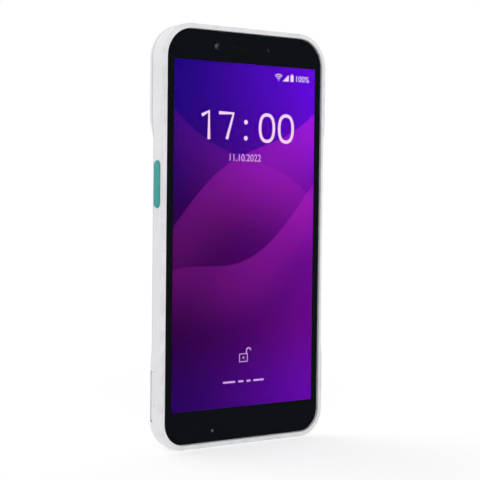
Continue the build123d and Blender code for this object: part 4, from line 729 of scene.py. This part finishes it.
# ---------------------------------------------------------------------------
# Black and grey mouldings inside: modules, connector, socket tongue, battery
# base; foam shield and rubber seals.
# ---------------------------------------------------------------------------
black_tones = ((0.012, 0.012, 0.013, 1.0), (0.018, 0.018, 0.019, 1.0))
black_worn = (0.05, 0.05, 0.052, 1.0)
for name in (
    "earpiece", "front_camera", "rear_camera", "light_sensor", "scan_engine",
    "loudspeaker", "memory_card", "bay_connector", "usb_tongue",
):
    black = moulded_plastic("black_" + name, black_tones, 0.45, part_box(name), worn=black_worn, reach=0.0004)
    dress((name,), black)
    if name in ("light_sensor", "earpiece"):
        black.node_tree.nodes["Principled BSDF"].inputs["Specular IOR Level"].default_value = 0.08
base_tones = ((0.085, 0.086, 0.092, 1.0), (0.1, 0.101, 0.108, 1.0))
base_worn = (0.15, 0.15, 0.155, 1.0)
grey_base = moulded_plastic("grey_base", base_tones, 0.5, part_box("battery_base"), worn=base_worn, reach=0.001)
dress(("battery_base",), grey_base)
dress(("scan_light_shield",), foam_rubber("foam", adhesive_tones, 2600.0, 0.00005))
rubber_tones = ((0.10, 0.10, 0.105, 1.0), (0.13, 0.13, 0.135, 1.0))
grey_rubber = foam_rubber("grey_rubber", rubber_tones, 5200.0, 0.000008, 0.65)
dress(("housing_gasket", "usb_seal", "left_key_seal", "right_key_seal", "motor_boot"), grey_rubber)

# ---------------------------------------------------------------------------
# Camera modules: black moulded barrels with stepped baffles and a domed glass
# in the front of each, on their square bases.
# ---------------------------------------------------------------------------
def turned(bm, outline, spot, steps=48):
    """A round piece about an axis along the depth, from (radius, depth) points; ends on the axis close it."""
    rings = [bm.verts.new((spot[0] + radius, depth, spot[1])) for radius, depth in outline]
    edges = [bm.edges.new(pair) for pair in zip(rings, rings[1:])]
    settings = {"cent": (spot[0], 0, spot[1]), "axis": (0, 1, 0), "angle": 2 * math.pi, "steps": steps}
    bmesh.ops.spin(bm, geom=rings + edges, use_merge=True, use_duplicate=False, **settings)
    bmesh.ops.remove_doubles(bm, verts=bm.verts, dist=0.0005)


def slab(bm, low, high, edge):
    """A box between two corners (x, depth, height), with small rounded edges."""
    new = bmesh.ops.create_cube(bm, size=1.0)["verts"]
    bmesh.ops.scale(bm, vec=[h - l for l, h in zip(low, high)], verts=new)
    bmesh.ops.translate(bm, vec=[(h + l) / 2 for l, h in zip(low, high)], verts=new)
    edges = list({e for vert in new for e in vert.link_edges})
    bmesh.ops.bevel(bm, geom=edges, offset=edge, segments=2, profile=0.5, affect="EDGES", material=-1)


def box_in_mm(node):
    """A node's corners in millimetres, with depths behind the front rim."""
    low, high = (corner * 1000 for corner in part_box(node))
    shift = Vector((0, body_middle_depth, 0))
    return low + shift, high + shift


def dome_points(radius, edge_depth, rise, steps=7):
    """Half the outline of a lens's curved face, from its edge to the axis."""
    angles = [math.pi / 2 * step / steps for step in range(steps + 1)]
    return [(radius * math.cos(a), edge_depth + rise * math.sin(a)) for a in angles]


def domed_lens(bm, radius, seat, rise, back, spot):
    """A lens with a domed face on its seat and a flat back."""
    turned(bm, dome_points(radius, seat, rise) + [(0, back), (radius, back), (radius, seat)], spot)


lens_coated = clear_glass("lens_coated", (0.42, 0.36, 0.62, 1.0), 1.5, 0.02, 900.0)
module_tones = ((0.006, 0.006, 0.007, 1.0), (0.009, 0.009, 0.0095, 1.0))

low, high = box_in_mm("front_camera")
spot = ((low.x + high.x) / 2, (low.z + high.z) / 2)
base_depth = 4.0
base_front = high.y - base_depth
# The barrel's outline runs from the base up its wall, over the lip, and down the baffles to the lens's seat
bm = bmesh.new()
slab(bm, (low.x, base_front, low.z), (high.x, high.y, high.z), 0.15)
front = low.y
barrel = [(2.1, base_front), (2.1, front + 0.08), (2.02, front), (1.45, front), (1.4, front + 0.05)]
barrel += [(1.25, front + 0.12), (1.25, front + 0.2), (1.0, front + 0.24)]
barrel += [(1.0, front + 0.34), (0, front + 0.36)]
turned(bm, barrel, spot)
module_black = moulded_plastic("camera_black", module_tones, 0.5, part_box("front_camera"))
module_black.node_tree.nodes["Principled BSDF"].inputs["Specular IOR Level"].default_value = 0.08
module = finish_piece(bm, "front_camera_module", module_black, "terminal", 30)
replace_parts(module, "front_camera")
bm = bmesh.new()
domed_lens(bm, 0.98, front + 0.3, -0.16, front + 0.31, spot)
finish_piece(bm, "front_camera_lens", lens_coated, "terminal", 50)

low, high = box_in_mm("rear_camera")
spot = ((low.x + high.x) / 2, (low.z + high.z) / 2)
rear = high.y
base_rear = rear - 0.8
# As in front: wall, lip, two baffles and the lens's seat
bm = bmesh.new()
slab(bm, (low.x, low.y, low.z), (high.x, base_rear, high.z), 0.2)
barrel = [(3.2, base_rear), (3.2, rear - 0.1), (3.1, rear), (2.75, rear)]
barrel += [(2.65, rear - 0.12), (2.65, rear - 0.3), (2.3, rear - 0.36), (2.3, rear - 0.52)]
barrel += [(1.9, rear - 0.58), (1.9, rear - 0.76), (0, rear - 0.78)]
turned(bm, barrel, spot)
rear_black = moulded_plastic("rear_camera_black", module_tones, 0.5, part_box("rear_camera"))
module = finish_piece(bm, "rear_camera_module", rear_black, "terminal", 30)
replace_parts(module, "rear_camera")
bm = bmesh.new()
domed_lens(bm, 1.85, rear - 0.72, 0.45, rear - 0.74, spot)
finish_piece(bm, "rear_camera_lens", lens_coated, "terminal", 50)


# ---------------------------------------------------------------------------
# Sound meshes: fine blackened steel sheet etched with square holes, behind the
# earpiece's slot in the glass and behind the loudspeaker's slots.
# ---------------------------------------------------------------------------
def etched_mesh(node, pitch, web, name):
    """A node's sheet with square holes on a pitch, and a solid rim one cell wide."""
    low, high = box_in_mm(node)
    across, up = high.x - low.x, high.z - low.z
    columns, rows = round(across / pitch), round(up / pitch)
    bm = bmesh.new()
    bmesh.ops.create_grid(bm, x_segments=columns, y_segments=rows, size=0.5)
    bmesh.ops.scale(bm, vec=(across, up, 1), verts=bm.verts)
    bmesh.ops.rotate(bm, cent=(0, 0, 0), matrix=Matrix.Rotation(math.pi / 2, 3, "X"), verts=bm.verts)
    bmesh.ops.translate(bm, vec=((low.x + high.x) / 2, low.y, (low.z + high.z) / 2), verts=bm.verts)
    inner = [face for face in bm.faces if not any(edge.is_boundary for edge in face.edges)]
    corners = [face for face in bm.faces if sum(edge.is_boundary for edge in face.edges) == 2]
    bmesh.ops.inset_individual(bm, faces=inner, thickness=web / 2)
    bmesh.ops.delete(bm, geom=inner + corners, context="FACES")
    bmesh.ops.recalc_face_normals(bm, faces=bm.faces)
    if next(iter(bm.faces)).normal.y > 0:
        bmesh.ops.reverse_faces(bm, faces=bm.faces)
    bmesh.ops.solidify(bm, geom=bm.faces[:], thickness=high.y - low.y)
    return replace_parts(finish_piece(bm, name, mesh_steel, "terminal", 30), node)


etched_mesh("earpiece_mesh", 0.36, 0.13, "earpiece_grille")
etched_mesh("speaker_mesh", 0.5, 0.18, "speaker_grille")

# ---------------------------------------------------------------------------
# Flash: slightly milky moulded rod with rings on its outer face, over the
# yellow phosphor of the lamp on the board.
# ---------------------------------------------------------------------------
low, high = box_in_mm("flash_lens")
spot = ((low.x + high.x) / 2, (low.z + high.z) / 2)
flange_back = box_in_mm("rear_camera")[1].y - 0.2
outline = [(0, low.y), (1.6, low.y), (1.7, low.y + 0.1), (1.7, flange_back - 0.5), (2.8, flange_back - 0.5)]
outline += [(2.8, flange_back), (2.3, flange_back), (2.3, high.y - 0.1), (2.2, high.y)]
ring_steps, ring_reach, ring_depth = 7, 2.05, 0.16
for step in range(ring_steps):
    outer, inner = (ring_reach * (1 - ring / ring_steps) for ring in (step, step + 1))
    outline += [(outer, high.y), (inner + 0.02, high.y - ring_depth)]
outline += [(0, high.y - ring_depth)]
bm = bmesh.new()
turned(bm, outline, spot)
flash_milky = clear_glass("flash_lens", (0.93, 0.91, 0.80, 1.0), 1.45, 0.12, 900.0)
flash_milky.node_tree.nodes["Principled BSDF"].inputs["Transmission Weight"].default_value = 0.5
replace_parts(finish_piece(bm, "flash_optic", flash_milky, "terminal", 20), "flash_lens")
bm = bmesh.new()
lamp_face = low.y - 0.1
lamp_half = 1.2
low_corner = (spot[0] - lamp_half, lamp_face, spot[1] - lamp_half)
high_corner = (spot[0] + lamp_half, lamp_face + 0.06, spot[1] + lamp_half)
slab(bm, low_corner, high_corner, 0.02)
phosphor_tones = ((0.72, 0.66, 0.10, 1.0), (0.66, 0.58, 0.07, 1.0))
phosphor = foam_rubber("phosphor", phosphor_tones, 9000.0, 0.000004, 0.7)
finish_piece(bm, "flash_phosphor", phosphor, "terminal")

# ---------------------------------------------------------------------------
# Socket contacts: two rows of gold-plated strips along the socket's tongue.
# ---------------------------------------------------------------------------
tongue_low, tongue_high = box_in_mm("usb_tongue")
tongue_middle = (tongue_low.y + tongue_high.y) / 2
contact_pitch, contact_width, contact_proud = 0.5, 0.26, 0.03
power_contacts = (0, 3, 8, 11)  # the longer ones, which touch first
bm = bmesh.new()
for face in (-1, 1):
    level = tongue_middle + face * 0.35
    outer_level = level + face * contact_proud
    for step in range(12):
        left = contact_pitch * (step - 5.5) - contact_width / 2
        reach = 0.35 if step in power_contacts else 0.7
        low_corner = (left, min(level, outer_level), tongue_low.z + reach)
        high_corner = (left + contact_width, max(level, outer_level), tongue_high.z - 1.6)
        slab(bm, low_corner, high_corner, 0.008)
finish_piece(bm, "socket_contacts", contact_gold, "terminal")

# ---------------------------------------------------------------------------
# Scan optics: a turned ring round each of the engine's lenses, seen dimly
# behind the red window.
# ---------------------------------------------------------------------------
lens_low, lens_high = box_in_mm("scan_lenses")
bm = bmesh.new()
for middle, radius in ((lens_low.x + 1.75, 1.75), (lens_high.x - 1.3, 1.3)):
    section = ((0.05, 0.0), (0.55, 0.0), (0.5, 0.35), (0.1, 0.45), (0.05, 0.0))
    outline = [(radius + out, rise) for out, rise in section]
    earlier = set(bm.verts)
    turned(bm, outline, (0, 0), 40)
    new = [vert for vert in bm.verts if vert not in earlier]
    bmesh.ops.rotate(bm, cent=(0, 0, 0), matrix=Matrix.Rotation(math.pi / 2, 3, "X"), verts=new)
    bmesh.ops.translate(bm, vec=(middle, (lens_low.y + lens_high.y) / 2, lens_low.z), verts=new)
lens_ring_metal = worked_metal("lens_ring_metal", ring_tones, 0.3, (1.0, 1.0, 0.1))
finish_piece(bm, "scan_lens_rings", lens_ring_metal, "terminal", 40)

# ---------------------------------------------------------------------------
# Windows and lenses: red filter glass over the scan engine, coated lenses and
# the camera's window.
# ---------------------------------------------------------------------------
dress(("scan_lenses",), clear_glass("lens_glass", (0.75, 0.85, 1.0, 1.0), 1.5, 0.03, 400.0))
dress(("camera_window",), clear_glass("window_glass", (0.9, 0.93, 0.96, 1.0), 1.3, 0.03, 400.0))
dress(("scan_window",), clear_glass("scan_window", (0.35, 0.02, 0.03, 1.0), 1.45, 0.05, 120.0))

# ---------------------------------------------------------------------------
# Studio: pale floor that keeps the shadow, soft suns from three sides, a white
# surround that is plain in brightness for the light it gives.
# ---------------------------------------------------------------------------
floor_tone, floor_shown = (0.9, 0.9, 0.9, 1.0), (0.5, 0.5, 0.5, 1.0)
floor_lift = 0.58  # what the floor lacks to look as white as the surround
floor_glow = 0.2  # what it adds to the light on the object
surround_light = 0.50
floor_half = 6.0


def seen_directly(tree):
    """One for what the camera, a mirror or a glass shows, and nought for light on a surface."""
    path = put(tree, "ShaderNodeLightPath").outputs
    glossy = sums(tree, "MAXIMUM", path["Is Camera Ray"], path["Is Glossy Ray"])
    return sums(tree, "MAXIMUM", glossy, path["Is Transmission Ray"])


bm = bmesh.new()
bmesh.ops.create_grid(bm, x_segments=8, y_segments=8, size=floor_half)
floor_mesh = bpy.data.meshes.new("floor")
bm.to_mesh(floor_mesh)
bm.free()
floor = bpy.data.objects.new("floor", floor_mesh)
bpy.context.scene.collection.objects.link(floor)
floor_finish, tree, shader = new_finish("floor")
place = put(tree, "ShaderNodeTexCoord").outputs["Object"]
paper = put(tree, "ShaderNodeTexNoise", {"Vector": place, "Scale": 900.0, "Detail": 2.0}).outputs[0]
tree.links.new(sums(tree, "MULTIPLY_ADD", paper, 0.1, 0.85), shader.inputs["Roughness"])
seen = seen_directly(tree)
tree.links.new(tint(tree, seen, floor_tone, floor_shown), shader.inputs["Base Color"])
shader.inputs["Specular IOR Level"].default_value = 0.0
shader.inputs["Emission Color"].default_value = (1.0, 1.0, 1.0, 1.0)
lift = sums(tree, "MULTIPLY_ADD", seen, floor_lift - floor_glow, floor_glow)
tree.links.new(lift, shader.inputs["Emission Strength"])
floor_mesh.materials.append(floor_finish)

suns = (  # where each stands, its strength, and its spread in degrees
    ("front_left_sun", (-0.50, -0.80, 0.55), 0.93, 50),
    ("right_sun", (0.85, 0.10, 0.55), 0.55, 60),
    ("back_sun", (-0.35, 0.85, 0.60), 0.68, 60),
)
for name, towards, strength, spread in suns:
    lamp = bpy.data.lights.new(name, "SUN")
    lamp.energy = strength
    lamp.angle = math.radians(spread)
    sun = bpy.data.objects.new(name, lamp)
    sun.rotation_euler = Vector(towards).to_track_quat("Z", "Y").to_euler()
    bpy.context.scene.collection.objects.link(sun)

world = bpy.data.worlds.new("surround")
bpy.context.scene.world = world
world.use_nodes = True
tree = world.node_tree
background = tree.nodes["Background"]
background.inputs["Color"].default_value = (1.0, 1.0, 1.0, 1.0)
level = sums(tree, "MULTIPLY_ADD", seen_directly(tree), 1.0 - surround_light, surround_light)
tree.links.new(level, background.inputs["Strength"])
bpy.context.scene.view_settings.view_transform = "Standard"

# ---------------------------------------------------------------------------
# Camera: to the left of the front, at about the height of the trigger key.
# ---------------------------------------------------------------------------
lens = bpy.data.cameras.new("camera")
lens.sensor_width = 36.0
lens.lens = 95.058
lens.clip_start = 0.01
camera = bpy.data.objects.new("camera", lens)
camera.location = (-0.289106, -0.4199838, 0.0987063)
camera.rotation_euler = [math.radians(angle) for angle in (88.0201, -0.6188, -34.7214)]
bpy.context.scene.collection.objects.link(camera)
bpy.context.scene.camera = camera
